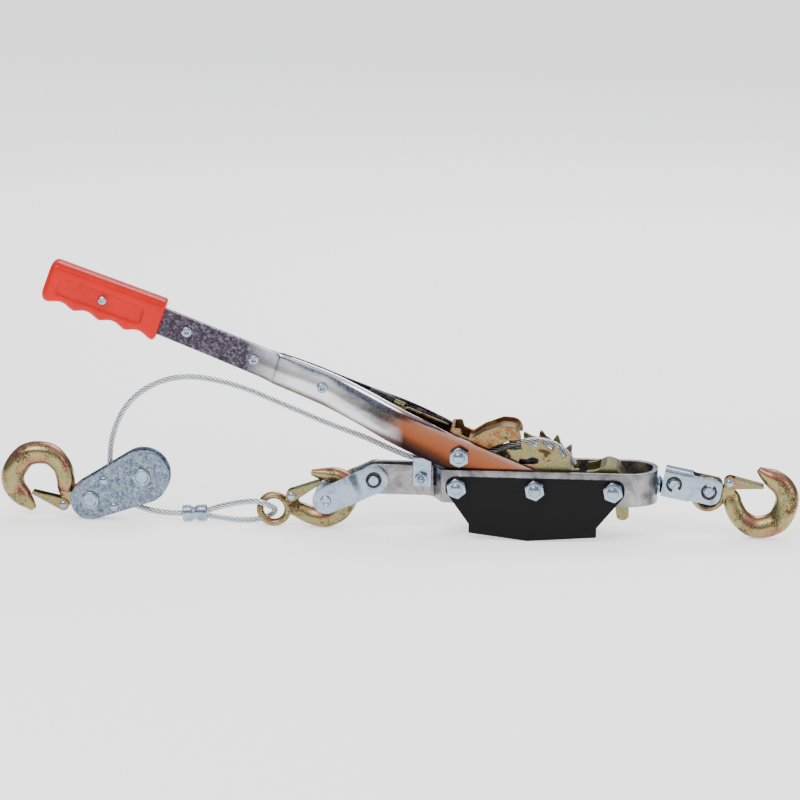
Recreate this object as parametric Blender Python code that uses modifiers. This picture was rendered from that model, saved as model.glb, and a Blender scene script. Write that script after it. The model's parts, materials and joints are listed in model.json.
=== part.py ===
"""Come-along winch (hand ratchet cable puller), modelled as an assembly of its real pieces.

The bench frame used below is in millimetres: x along the winch (the grip is at -x, the swivel
hook at +x), y across it (the nuts are at -y) and z up, measured from the drum axle.
The empty "winch" puts that frame in the world, with the origin under the middle of the winch.
"""
import math

import bmesh
import bpy
from mathutils import Matrix, Vector

MM = 0.001
NAME = "come_along_winch"

# Where the drum axle stands in the world (mm)
AXLE_X = 125.87
AXLE_Y = 2.1
AXLE_Z = 48.0
GAP = 0.4                      # between pieces that touch on the real winch

# Frame: one steel strap bent round the drum
STRAP_HALF_HEIGHT = 15.0
STRAP_THICK = 5.0
STRAP_MID_Y = 29.5
NECK_MID_Y = 8.5
NECK_HALF_HEIGHT = 13.5
STRAP_REAR_X = 106.5
REAR_CORNER_R = 25.0
BOLT_X = (-70.0, 0.0, 70.0)
BOLT_R = 5.0
NUT_ACROSS_FLATS = 16.0
NUT_THICK = 8.0
PLATE_Y = (STRAP_MID_Y + STRAP_THICK / 2 + GAP, STRAP_MID_Y + STRAP_THICK / 2 + GAP + 2.0)

NECK_PIN = (-146.0, 0.0)
LINK_PIN = (-189.0, -19.9)
SADDLE_BOLT = (-103.0, 2.5)
SADDLE_X = (-111.0, -94.0)

# Drum and ratchet wheels
WHEEL_Y = (17.8, 22.0)
TEETH = 17
TOOTH_TIP_R = 42.5
TOOTH_ROOT_R = 35.5
WOUND_R = 34.6
DRUM_CORE_R = 14.0

# Handle
FORK_MID_Y = 24.5
HANDLE_THICK = 3.0
PAWL_BOLT = (-68.5, 26.5)
RIVET_3 = (-193.8, 82.3)
RIVET_2 = (-256.0, 105.4)
RIVET_1 = (-316.7, 129.5)
GRIP_SCREW = (-391.8, 158.2)
GRIP_SLOPE = math.radians(160.8)

# Rear swivel and hook
STUD_PIN = (123.8, 2.0)
HOOK_PIN = (155.2, -4.1)
LINK_SLOPE = math.radians(-11.0)
PIN_R = 4.3

# Pulley block
BLOCK_Y = 12.0
SHEAVE_AXLE = (-358.0, -6.9)
BLOCK_PIN = (-405.2, -29.3)
KEEPERS = ((-393.0, -11.0), (-383.6, -35.2))

# Slip hooks, each in its own frame: the eye at 0, the bowl along +x and the tip on +z
HOOK_REACH = 45.5
EYE_R = 12.6
EYE_TUBE = 3.3
EYE_HALF_Y = 4.5
LATCH_PIVOT = (18.4, 13.6)
LATCH_TILT = math.radians(-1.0)
LATCH_WALL = 1.3
LATCH_EYE_R = 5.4
LATCH_TIP_R = 1.3
BOSS_ROOT = (17.5, 4.0)
BOSS_ROOT_R = 6.2
BOSS_R = 4.6
LATCH_SLOT_HALF = 4.9
RELIEF_R = 13.0
REAR_HOOK_SLOPE = math.radians(-5.0)
BLOCK_HOOK_SLOPE = math.radians(161.0)

# The end hook's eye holds the cable's loop, and its throat is tighter
END_HOOK_EYE = (-237.3, -32.1)
END_HOOK_SLOPE = math.radians(26.6)
END_LATCH_PIVOT = (20.6, 4.6)
END_BOSS_ROOT = (17.0, -6.5)
END_LATCH_TILT = math.radians(0.5)

# Cable
CABLE_R = 2.4
FERRULE = (-310.0, 7.5, -39.8)


def metres(values):
    return [v * MM for v in values]


def material(name, colour, metallic, roughness):
    mat = bpy.data.materials.get(name) or bpy.data.materials.new(name)
    mat.use_nodes = True
    shader = mat.node_tree.nodes["Principled BSDF"]
    shader.inputs["Base Color"].default_value = (*colour, 1.0)
    shader.inputs["Metallic"].default_value = metallic
    shader.inputs["Roughness"].default_value = roughness
    mat.diffuse_color = (*colour, 1.0)
    return mat


FINISHES = {
    "satin_steel": ((0.62, 0.61, 0.60), 1.0, 0.32),
    "zinc": ((0.66, 0.70, 0.74), 1.0, 0.38),
    "yellow_zinc": ((0.70, 0.58, 0.36), 1.0, 0.34),
    "chrome": ((0.55, 0.53, 0.56), 1.0, 0.12),
    "black_paint": ((0.012, 0.011, 0.012), 0.0, 0.45),
    "red_plastic": ((0.80, 0.045, 0.025), 0.0, 0.35),
    "wire_rope": ((0.60, 0.61, 0.62), 1.0, 0.40),
    "black_spring": ((0.03, 0.03, 0.03), 0.6, 0.45),
}


# ---- scene, collections and joints ------------------------------------------------------------

def clear_scene():
    for obj in list(bpy.data.objects):
        bpy.data.objects.remove(obj, do_unlink=True)


def collection(name):
    coll = bpy.data.collections.get(name) or bpy.data.collections.new(name)
    if coll.name not in bpy.context.scene.collection.children:
        bpy.context.scene.collection.children.link(coll)
    return coll


def empty(name, x, z, y=0.0, parent=None):
    """An empty on a joint's axis, given in the bench frame; what moves is parented to it."""
    obj = bpy.data.objects.new(name, None)
    obj.empty_display_size = 0.01
    PARTS.objects.link(obj)
    obj["bench"] = (x, y, z)
    base = Vector(parent["bench"]) if parent else Vector((0, 0, 0))
    obj.location = (Vector((x, y, z)) - base) * MM
    obj.parent = parent
    return obj


def keep(obj, finish, joint):
    """Hang a finished piece, made in the bench frame, on its joint's empty."""
    shift = Vector(joint["bench"]) * MM
    obj.data.transform(Matrix.Translation(-shift))
    obj.parent = joint
    obj.data.materials.clear()
    obj.data.materials.append(material(finish, *FINISHES[finish]))
    return obj


def as_cutter(obj):
    """Move a helper solid to the cutters; it stays in the bench frame."""
    for coll in list(obj.users_collection):
        coll.objects.unlink(obj)
    CUTTERS.objects.link(obj)
    obj.parent = WINCH
    obj.hide_render = True
    obj.display_type = "WIRE"
    return obj


def boolean(obj, other, operation="DIFFERENCE"):
    mod = obj.modifiers.new(other.name, "BOOLEAN")
    mod.operation = operation
    mod.solver = "EXACT"
    mod.object = as_cutter(other)
    return obj


# ---- outlines ---------------------------------------------------------------------------------

def fillet(corners, step=math.radians(18), closed=True):
    """Corners (x, z, radius) as a polyline whose corners are arcs."""
    out = []
    last = len(corners) - 1
    for i, (x, z, r) in enumerate(corners):
        here = Vector((x, z))
        if r <= 0 or (not closed and i in (0, last)):
            out.append(here)
            continue
        to_last = (Vector(corners[i - 1][:2]) - here).normalized()
        to_next = (Vector(corners[(i + 1) % len(corners)][:2]) - here).normalized()
        half = to_last.angle(to_next) / 2
        centre = here + (to_last + to_next).normalized() * (r / math.sin(half))
        start = here + to_last * (r / math.tan(half)) - centre
        end = here + to_next * (r / math.tan(half)) - centre
        a0 = math.atan2(start.y, start.x)
        turn = (math.atan2(end.y, end.x) - a0 + math.pi) % (2 * math.pi) - math.pi
        steps = max(2, math.ceil(abs(turn) / step))
        for k in range(steps + 1):
            a = a0 + turn * k / steps
            out.append(centre + r * Vector((math.cos(a), math.sin(a))))
    return out


def circle(x, z, r, sides=20):
    return [Vector((x + r * math.cos(2 * math.pi * k / sides),
                    z + r * math.sin(2 * math.pi * k / sides))) for k in range(sides)]


def belt(a, ra, b, rb, step=math.radians(18)):
    """The outline of a belt stretched round two circles."""
    a, b = Vector(a), Vector(b)
    along = b - a
    heading = math.atan2(along.y, along.x)
    lean = math.acos((ra - rb) / along.length)
    out = []
    for centre, r, start, end in ((a, ra, heading + lean, heading + 2 * math.pi - lean),
                                  (b, rb, heading - lean, heading + lean)):
        steps = max(2, math.ceil((end - start) / step))
        for k in range(steps + 1):
            t = start + (end - start) * k / steps
            out.append(centre + r * Vector((math.cos(t), math.sin(t))))
    return out


def turned_outline(points, pivot, angle):
    """Outline points given along a sloped axis through pivot, in the bench frame."""
    c, s = math.cos(angle), math.sin(angle)
    return [Vector((pivot[0] + p[0] * c - p[1] * s, pivot[1] + p[0] * s + p[1] * c))
            for p in points]


def smooth(points, per_span):
    """A Catmull-Rom curve through points of any dimension."""
    pts = [tuple(p) for p in points]
    pts = [tuple(2 * a - b for a, b in zip(pts[0], pts[1])), *pts,
           tuple(2 * a - b for a, b in zip(pts[-1], pts[-2]))]
    out = []
    for p0, p1, p2, p3 in zip(pts, pts[1:], pts[2:], pts[3:]):
        for k in range(per_span):
            t = k / per_span
            out.append(tuple(
                b + 0.5 * t * (c - a + t * (2 * a - 5 * b + 4 * c - d + t * (3 * (b - c) + d - a)))
                for a, b, c, d in zip(p0, p1, p2, p3)))
    out.append(pts[-2])
    return out


# ---- solids, all made in the bench frame ------------------------------------------------------

def linked(name, mesh):
    obj = bpy.data.objects.new(name, mesh)
    PARTS.objects.link(obj)
    return obj


def mesh_of(curve_obj):
    """A curve as a welded mesh under the same name."""
    bpy.context.view_layer.update()
    graph = bpy.context.evaluated_depsgraph_get()
    mesh = bpy.data.meshes.new_from_object(curve_obj.evaluated_get(graph))
    mesh.transform(curve_obj.matrix_world)
    name = curve_obj.name
    bpy.data.objects.remove(curve_obj, do_unlink=True)
    bm = bmesh.new()
    bm.from_mesh(mesh)
    bmesh.ops.remove_doubles(bm, verts=bm.verts, dist=1e-6)
    bmesh.ops.recalc_face_normals(bm, faces=bm.faces)
    bm.to_mesh(mesh)
    bm.free()
    return linked(name, mesh)


def plate(name, loops, y0, y1):
    """A flat plate in the x-z plane from y0 to y1; the first loop is its outline, others holes."""
    curve = bpy.data.curves.new(name, "CURVE")
    curve.dimensions = "2D"
    curve.fill_mode = "BOTH"
    curve.extrude = (y1 - y0) / 2 * MM
    for loop in loops:
        spline = curve.splines.new("POLY")
        spline.points.add(len(loop) - 1)
        for point, p in zip(spline.points, loop):
            point.co = (p[0] * MM, p[1] * MM, 0, 1)
        spline.use_cyclic_u = True
    obj = linked(name, curve)
    obj.rotation_euler = (math.pi / 2, 0, 0)
    obj.location = (0, (y0 + y1) / 2 * MM, 0)
    return mesh_of(obj)


def ribbon(name, path, height, thick):
    """A strip bent along a path in the x-y plane, standing height tall about z = 0."""
    bm = bmesh.new()
    low = [bm.verts.new((x * MM, y * MM, -height / 2 * MM)) for x, y in path]
    edges = [bm.edges.new(pair) for pair in zip(low, low[1:])]
    risen = bmesh.ops.extrude_edge_only(bm, edges=edges)["geom"]
    bmesh.ops.translate(bm, verts=[g for g in risen if isinstance(g, bmesh.types.BMVert)],
                        vec=(0, 0, height * MM))
    mesh = bpy.data.meshes.new(name)
    bm.to_mesh(mesh)
    bm.free()
    obj = linked(name, mesh)
    wall = obj.modifiers.new("wall", "SOLIDIFY")
    wall.thickness = thick * MM
    wall.offset = 0
    wall.use_even_offset = True
    return obj


def cylinder(name, x, z, r, y0, y1, sides=16):
    bm = bmesh.new()
    place = (Matrix.Translation(metres((x, (y0 + y1) / 2, z)))
             @ Matrix.Rotation(math.pi / 2, 4, "X"))
    bmesh.ops.create_cone(bm, cap_ends=True, segments=sides, radius1=r * MM, radius2=r * MM,
                          depth=(y1 - y0) * MM, matrix=place)
    mesh = bpy.data.meshes.new(name)
    bm.to_mesh(mesh)
    bm.free()
    return linked(name, mesh)


def box(name, x0, x1, y0, y1, z0, z1):
    bm = bmesh.new()
    size = Matrix.Diagonal(metres((x1 - x0, y1 - y0, z1 - z0)) + [1])
    place = Matrix.Translation(metres(((x0 + x1) / 2, (y0 + y1) / 2, (z0 + z1) / 2)))
    bmesh.ops.create_cube(bm, size=1, matrix=place @ size)
    mesh = bpy.data.meshes.new(name)
    bm.to_mesh(mesh)
    bm.free()
    return linked(name, mesh)


def turned(name, profile, place, sides=20, ring=False):
    """Spin a profile of (radius, height), listed top to bottom, about the place's z axis."""
    mesh = bpy.data.meshes.new(name)
    verts = [(r * MM, 0, h * MM) for r, h in profile]
    edges = [(i, i + 1) for i in range(len(verts) - 1)]
    if ring:
        edges.append((len(verts) - 1, 0))
    mesh.from_pydata(verts, edges, [])
    obj = linked(name, mesh)
    spin = obj.modifiers.new("spin", "SCREW")
    spin.steps = spin.render_steps = sides
    spin.use_merge_vertices = True
    spin.merge_threshold = 1e-6
    spin.use_smooth_shade = False
    obj = mesh_of(obj)
    obj.data.transform(place)
    return obj


def across(x, z, y=0.0):
    """A place whose z axis runs along the bench's +y."""
    return Matrix.Translation(metres((x, y, z))) @ Matrix.Rotation(-math.pi / 2, 4, "X")


def tube(name, points, sides=2, radii=None, r=1.0):
    """A round bar along bench points, each with its own radius where radii are given."""
    curve = bpy.data.curves.new(name, "CURVE")
    curve.dimensions = "3D"
    curve.bevel_depth = MM
    curve.bevel_resolution = sides
    curve.use_fill_caps = True
    spline = curve.splines.new("POLY")
    spline.points.add(len(points) - 1)
    for i, p in enumerate(points):
        spline.points[i].co = (p[0] * MM, p[1] * MM, p[2] * MM, 1)
        spline.points[i].radius = radii[i] if radii else r
    return mesh_of(linked(name, curve))


# ---- repeated pieces --------------------------------------------------------------------------

def hexagon(x, z, across_flats, turn=0.0):
    r = across_flats / math.sqrt(3)
    return [Vector((x + r * math.cos(turn + math.pi * k / 3),
                    z + r * math.sin(turn + math.pi * k / 3))) for k in range(6)]


def bolt(name, x, z, r, across_flats, head_y, head_thick, end_y, joint):
    """A hex bolt whose head stands on the +y side and whose shank runs to end_y."""
    head = plate(name, [hexagon(x, z, across_flats, 0.2)], head_y, head_y + head_thick)
    boolean(head, cylinder(name + "_shank", x, z, r, end_y, head_y + head_thick / 2), "UNION")
    return keep(head, "zinc", joint)


def nut(name, x, z, r, across_flats, y0, y1, joint, turn=0.35):
    loops = [hexagon(x, z, across_flats, turn), circle(x, z, r + GAP)]
    return keep(plate(name, loops, y0, y1), "zinc", joint)


def rivet(name, x, z, half_grip, joint, shank_r=2.5, head_r=4.8, head_h=2.2, y=0.0,
          finish="zinc"):
    """A rivet with a domed head at each end."""
    top = half_grip + GAP
    dome = [(0, top + head_h), (head_r * 0.62, top + head_h * 0.75), (head_r, top)]
    profile = dome + [(shank_r, top), (shank_r, -top)] + [(r, -h) for r, h in reversed(dome)]
    return keep(turned(name, profile, across(x, z, y), 14), finish, joint)


def hook_sweep():
    """A slip hook's bowl: (angle about the bowl's centre, distance, half width)."""
    polar = ((172, 33.3, 5.0), (173, 26.9, 6.2), (184, 23.4, 7.7), (203, 22.7, 8.5),
             (236, 23.2, 8.9), (274, 25.0, 10.0), (319, 25.8, 10.6), (4, 25.8, 10.7),
             (34, 25.1, 10.1), (64, 23.4, 8.8), (82, 24.6, 6.0), (96, 28.4, 3.0))
    return [(HOOK_REACH + d * math.cos(math.radians(a)), d * math.sin(math.radians(a)), r)
            for a, d, r in polar]


def end_hook_sweep():
    """The end hook's bowl, closed in further over its throat: (x, z, half width)."""
    slope = END_HOOK_SLOPE
    c, s = math.cos(-slope), math.sin(-slope)
    bench = ((-222.5, -30.0, 5.8), (-213.5, -33.0, 7.6), (-203.0, -36.9, 8.5),
             (-191.0, -37.9, 10.0), (-178.9, -31.8, 10.3), (-171.5, -20.0, 10.4),
             (-171.8, -8.2, 9.4), (-178.2, -1.4, 8.2), (-187.5, 0.6, 6.7), (-197.0, 1.5, 4.6),
             (-203.8, 2.8, 2.6))
    out = []
    for x, z, r in bench:
        dx, dz = x - END_HOOK_EYE[0], z - END_HOOK_EYE[1]
        out.append((dx * c - dz * s, dx * s + dz * c, r))
    return out



def slip_hook(name, place, joint, sweep, pivot, root):
    """A forged hook: a ring eye, a swept bowl and the boss and rivet that carry its latch."""
    path = smooth(sweep, 2)
    bar = tube(name, [(x, 0, z) for x, z, _ in path], 3, [r for _, _, r in path])
    section = [math.pi / 2 - 2 * math.pi * k / 8 for k in range(8)]
    eye = turned(name + "_eye", [(EYE_R + EYE_TUBE * math.cos(a), EYE_HALF_Y * math.sin(a))
                                 for a in section], across(0, 0), 18, ring=True)
    boss = plate(name + "_boss", [belt(root, BOSS_ROOT_R, pivot, BOSS_R, math.radians(30))],
                 -LATCH_SLOT_HALF, LATCH_SLOT_HALF)
    top = LATCH_SLOT_HALF + GAP + LATCH_WALL + GAP
    pin = turned(name + "_rivet", [(0, top + 1.8), (2.8, top + 1.4), (3.6, top), (1.9, top),
                                   (1.9, -top), (3.6, -top), (2.8, -top - 1.4), (0, -top - 1.8)],
                 across(*pivot), 12)
    for helper in (eye, boss, pin):
        helper.data.transform(place)
    for side in (-1, 1):
        relief = cylinder(name + ("_relief_a" if side < 0 else "_relief_b"), *pivot, RELIEF_R,
                          *sorted((side * LATCH_SLOT_HALF, side * 16.0)), 18)
        relief.data.transform(place)
        boolean(bar, relief)
    bar.data.transform(place)
    boolean(bar, eye, "UNION")
    boolean(bar, boss, "UNION")
    boolean(bar, pin, "UNION")
    return keep(bar, "yellow_zinc", joint)


def latch(name, place, joint, tilt, length=29.5):
    """A sheet latch bent to a channel; it turns on the hook's rivet and closes the throat."""
    side = belt((0, 0), LATCH_EYE_R, (length, 0), LATCH_TIP_R, math.radians(36))
    slot = LATCH_SLOT_HALF + GAP
    half = slot + LATCH_WALL
    body = plate(name, [turned_outline(side, (0, 0), tilt)], -half, half)
    web = LATCH_EYE_R - 1.7
    lower = [(-9, -9), (length + 6, -9), (length + 6, -0.3), (2, web), (-9, web)]
    inner = plate(name + "_slot", [turned_outline(lower, (0, 0), tilt)], -slot, slot)
    back = box(name + "_back", -9, 4.5, -slot, slot, -9, 9)
    hole = cylinder(name + "_hole", 0, 0, 2.4, -12, 12, 10)
    for helper in (inner, back, hole):
        helper.data.transform(place)
        boolean(body, helper)
    body.data.transform(place)
    return keep(body, "yellow_zinc", joint)


def hook_place(x, z, slope, y=0.0):
    """Where a hook's own frame (eye at 0, bowl along +x, tip on +z) stands in the bench frame."""
    return Matrix.Translation(metres((x, y, z))) @ Matrix.Rotation(-slope, 4, "Y")


def placed_pivot(place, pivot):
    p = place @ Vector((pivot[0] * MM, 0, pivot[1] * MM))
    return p / MM


# ---- the winch's sub-assemblies ---------------------------------------------------------------

def build_frame():
    half = [(-158.5, NECK_MID_Y), (-90.2, NECK_MID_Y), (-82.0, STRAP_MID_Y),
            (STRAP_REAR_X, STRAP_MID_Y)]
    radii = (0, 4.5, 4.5, REAR_CORNER_R)
    corners = [(x, -y, r) for (x, y), r in zip(half, radii)]
    corners += [(x, y, r) for (x, y), r in zip(reversed(half), reversed(radii))]
    strap = ribbon("frame_strap", fillet(corners, closed=False), 2 * STRAP_HALF_HEIGHT, STRAP_THICK)
    n, h = NECK_HALF_HEIGHT, STRAP_HALF_HEIGHT
    side = fillet([(-158.9, n, n * 0.98), (-97, n, 4), (-90, h, 4), (115, h, 0), (115, -h, 0),
                   (-90, -h, 4), (-97, -n, 4), (-158.9, -n, n * 0.98)], math.radians(15))
    boolean(strap, plate("strap_side_mask", [side], -40, 40), "INTERSECT")
    for i, x in enumerate(BOLT_X):
        boolean(strap, cylinder(f"strap_hole_{i}", x, 0, BOLT_R + GAP, -40, 40))
    boolean(strap, cylinder("strap_hole_neck", *NECK_PIN, 4.6 + GAP, -20, 20))
    boolean(strap, cylinder("strap_hole_saddle", *SADDLE_BOLT, 3.0 + GAP, -20, 20))
    stud_hole = cylinder("strap_hole_stud", 0, 0, 6.0 + GAP, -20, 20)
    stud_hole.data.transform(Matrix.Translation(metres((STRAP_REAR_X, 0, 0)))
                             @ Matrix.Rotation(math.pi / 2, 4, "Z"))
    boolean(strap, stud_hole)
    keep(strap, "satin_steel", WINCH)

    outline = fillet([(-80.5, 9.2, 8.5), (80.5, 9.2, 8.5), (80, -5, 6), (55.5, -34.6, 0),
                      (55.5, -43.2, 1), (-6.5, -47.9, 4), (-59, -41.6, 1), (-59, -33.6, 0),
                      (-80, -4.5, 6)])
    holes = [circle(x, 0, BOLT_R + GAP) for x in BOLT_X]
    for side_name, sign in (("near", -1), ("far", 1)):
        y0, y1 = sorted((sign * PLATE_Y[0], sign * PLATE_Y[1]))
        keep(plate(f"side_plate_{side_name}", [outline, *holes], y0, y1), "black_paint", WINCH)
    face = PLATE_Y[1] + GAP
    for label, x in zip(("front", "axle", "rear"), BOLT_X):
        bolt(f"{label}_bolt", x, 0, BOLT_R, NUT_ACROSS_FLATS, face, 6.4, -face - NUT_THICK - 2.6, WINCH)
        nut(f"{label}_nut", x, 0, BOLT_R, NUT_ACROSS_FLATS, -face - NUT_THICK, -face, WINCH)


def build_neck():
    """The cable guide over the neck, and the pinned link that the end hook is hooked on."""
    out = NECK_MID_Y + STRAP_THICK / 2 + GAP
    wall = 2.5
    loop = fillet([(-out - wall, -5, 0), (-out - wall, 24.6, 4), (out + wall, 24.6, 4),
                   (out + wall, -5, 0), (out, -5, 0), (out, 22.1, 2), (-out, 22.1, 2),
                   (-out, -5, 0)])
    saddle = plate("cable_guide", [loop], SADDLE_X[0], SADDLE_X[1])
    saddle.data.transform(Matrix.Rotation(-math.pi / 2, 4, "Z"))
    boolean(saddle, cylinder("guide_hole", *SADDLE_BOLT, 3.0 + GAP, -20, 20))
    keep(saddle, "zinc", WINCH)
    face = out + wall + GAP
    bolt("guide_bolt", *SADDLE_BOLT, 3.0, 10.0, face, 4.0, -face - 6.5, WINCH)
    nut("guide_nut", *SADDLE_BOLT, 3.0, 11.0, -face - 5.0, -face, WINCH)

    link = empty("front_link_joint", *NECK_PIN, parent=WINCH)
    upper_y, lower_y, thick = 11.4, 13.6, 3.0
    inner = -math.hypot(LINK_PIN[0] - NECK_PIN[0], LINK_PIN[1] - NECK_PIN[1])
    slope = math.atan2(NECK_PIN[1] - LINK_PIN[1], NECK_PIN[0] - LINK_PIN[0])
    for side_name, sign in (("near", -1), ("far", 1)):
        path = [(14.5, sign * (upper_y + thick / 2)), (-13, sign * (upper_y + thick / 2)),
                (-20, sign * (lower_y + thick / 2)), (inner - 13, sign * (lower_y + thick / 2))]
        arm = ribbon(f"front_link_{side_name}", path, 30, thick)
        arm.data.transform(Matrix.Translation(metres((NECK_PIN[0], 0, NECK_PIN[1])))
                           @ Matrix.Rotation(-slope, 4, "Y"))
        side = belt(NECK_PIN, 13.0, LINK_PIN, 12.2, math.radians(15))
        boolean(arm, plate(f"link_mask_{side_name}", [side], -30, 30), "INTERSECT")
        boolean(arm, cylinder(f"link_hole_a_{side_name}", *NECK_PIN, 4.6 + GAP, -30, 30))
        boolean(arm, cylinder(f"link_hole_b_{side_name}", *LINK_PIN, 4.5 + GAP, -30, 30))
        keep(arm, "zinc", link)
    end = upper_y + thick + GAP
    keep(turned("neck_pin", [(0, end + 2.0), (7.0, end + 2.0), (7.0, end), (4.6, end), (4.6, -end - 2.6),
                             (4.0, -end - 3.2), (0, -end - 3.2)], across(*NECK_PIN)), "zinc", WINCH)
    keep(plate("neck_ring", [circle(*NECK_PIN, 7.2), circle(*NECK_PIN, 4.6 + GAP)],
               -end - 1.4, -end), "black_spring", WINCH)
    low = lower_y + thick + GAP
    keep(turned("link_pin", [(0, low + 2.0), (4.4, low + 1.5), (6.5, low), (4.5, low), (4.5, -low - 1.0),
                             (3.9, -low - 1.6), (0, -low - 1.6)], across(*LINK_PIN)), "zinc", link)


def wheel_outline():
    """Saw teeth: steep on the counter-clockwise side, sloping back on the clockwise side."""
    out = []
    pitch = 2 * math.pi / TEETH
    for i in range(TEETH):
        a = i * pitch + 0.08
        for frac, r in ((0.0, TOOTH_ROOT_R), (0.50, TOOTH_ROOT_R + 2.6), (0.86, TOOTH_TIP_R),
                        (0.95, TOOTH_TIP_R - 0.4)):
            t = a + frac * pitch
            out.append(Vector((r * math.cos(t), r * math.sin(t))))
    return out


def build_drum():
    drum = empty("drum_joint", 0, 0, parent=WINCH)
    slot = fillet([(-15, 19.5, 2), (1, 20.5, 2), (3, 24.5, 1.5), (-3, 26.5, 2), (-9, 24.2, 1),
                   (-15.5, 25, 2)])
    for side_name, sign in (("near", -1), ("far", 1)):
        y0, y1 = sorted((sign * WHEEL_Y[0], sign * WHEEL_Y[1]))
        keep(plate(f"ratchet_wheel_{side_name}", [wheel_outline(), circle(0, 0, 8.4), slot], y0, y1),
             "yellow_zinc", drum)
    core = WHEEL_Y[0] - GAP
    keep(turned("drum_core", [(8.0, 21.6), (8.0, core), (DRUM_CORE_R, core), (DRUM_CORE_R, -core),
                              (8.0, -core), (8.0, -21.6), (BOLT_R + GAP, -21.6), (BOLT_R + GAP, 21.6)],
                across(0, 0), 24, ring=True), "zinc", drum)
    wound = core - 0.3
    keep(turned("wound_cable", [(WOUND_R - 0.6, wound), (WOUND_R, wound - 2), (WOUND_R, 2 - wound),
                                (WOUND_R - 0.6, -wound), (DRUM_CORE_R + GAP, -wound),
                                (DRUM_CORE_R + GAP, wound)], across(0, 0), 28, ring=True),
         "wire_rope", drum)


# Handle stations: x, z, half width, y of the plate's middle, depth of its turned-in edges
HANDLE_STATIONS = (
    (0.0, 0.0, 14.0, 24.5, 0.0), (-30.0, 11.6, 14.6, 24.5, 0.0), (-68.5, 26.5, 15.2, 24.5, 0.0),
    (-95.0, 38.1, 15.2, 24.5, 0.0), (-125.0, 51.7, 15.0, 23.6, 3.5), (-155.0, 65.2, 14.6, 13.2, 4.2),
    (-182.0, 77.2, 14.3, 6.4, 4.2), (-205.0, 86.7, 14.0, 5.6, 3.8), (-232.0, 96.7, 13.3, 3.4, 1.6),
    (-246.0, 101.8, 12.8, 1.75, 0.0), (-316.7, 129.5, 12.4, 1.75, 0.0), (-391.8, 158.2, 12.2, 1.75, 0.0),
    (-440.0, 175.0, 11.6, 1.75, 0.0))


def handle_plate(name, sign, joint):
    """One stamped handle plate: flat fork, S-bend and flat tail, with turned-in edges between."""
    stations = smooth(HANDLE_STATIONS, 2)
    first = Vector(stations[0][:2])
    heading = (Vector(stations[1][:2]) - first).normalized()
    nose = [(*(first - heading * 14.0 * f), 14.0 * math.sqrt(1 - f * f), 24.5, 0.0)
            for f in (0.97, 0.85, 0.6, 0.3)]
    stations = nose + stations
    rows = ((-1.0, 1.0), (-0.92, 0.0), (0.92, 0.0), (1.0, 1.0))
    bm = bmesh.new()
    grid = []
    for i, (x, z, half, y, lip) in enumerate(stations):
        before = Vector(stations[max(i - 1, 0)][:2])
        after = Vector(stations[min(i + 1, len(stations) - 1)][:2])
        along = (after - before).normalized()
        normal = Vector((along.y, -along.x))
        grid.append([bm.verts.new(((x + normal.x * half * v) * MM, sign * (y - lip * d) * MM,
                                   (z + normal.y * half * v) * MM)) for v, d in rows])
    for left, right in zip(grid, grid[1:]):
        for j in range(len(rows) - 1):
            bm.faces.new((left[j], left[j + 1], right[j + 1], right[j]))
    mesh = bpy.data.meshes.new(name)
    bm.to_mesh(mesh)
    bm.free()
    obj = linked(name, mesh)
    wall = obj.modifiers.new("wall", "SOLIDIFY")
    wall.thickness = HANDLE_THICK * MM
    wall.offset = 0
    wall.use_even_offset = True
    holes = ((0, 0, BOLT_R + GAP), (*PAWL_BOLT, BOLT_R + GAP), (*RIVET_3, 2.5 + GAP),
             (*RIVET_2, 2.5 + GAP), (*RIVET_1, 2.5 + GAP), (*GRIP_SCREW, 2.2 + GAP))
    for i, (x, z, r) in enumerate(holes):
        boolean(obj, cylinder(f"{name}_hole_{i}", x, z, r, -40, 40, 16))
    return keep(obj, "chrome", joint)


def grip_outline():
    """The grip's side: straight back, rounded ends and four finger hollows along the belly."""
    top, belly, pitch, depth = 18.6, -19.6, 24.6, 3.6
    belly_points = []
    for k in range(4):
        for t in (0.0, 0.18, 0.38, 0.62, 0.82):
            u = 47.0 - pitch * (k + t)
            belly_points.append((u, belly + depth * math.sin(math.pi * t) ** 0.8))
    corners = [(54.2, -16.5, 3), (54.2, top, 6), (-55.6, top, 3), (-55.6, -19.2, 4)]
    rounded = [tuple(p) for p in fillet([*corners, (40, -19.6, 0)])][:-1]
    return [*rounded, *reversed(belly_points)]


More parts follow.
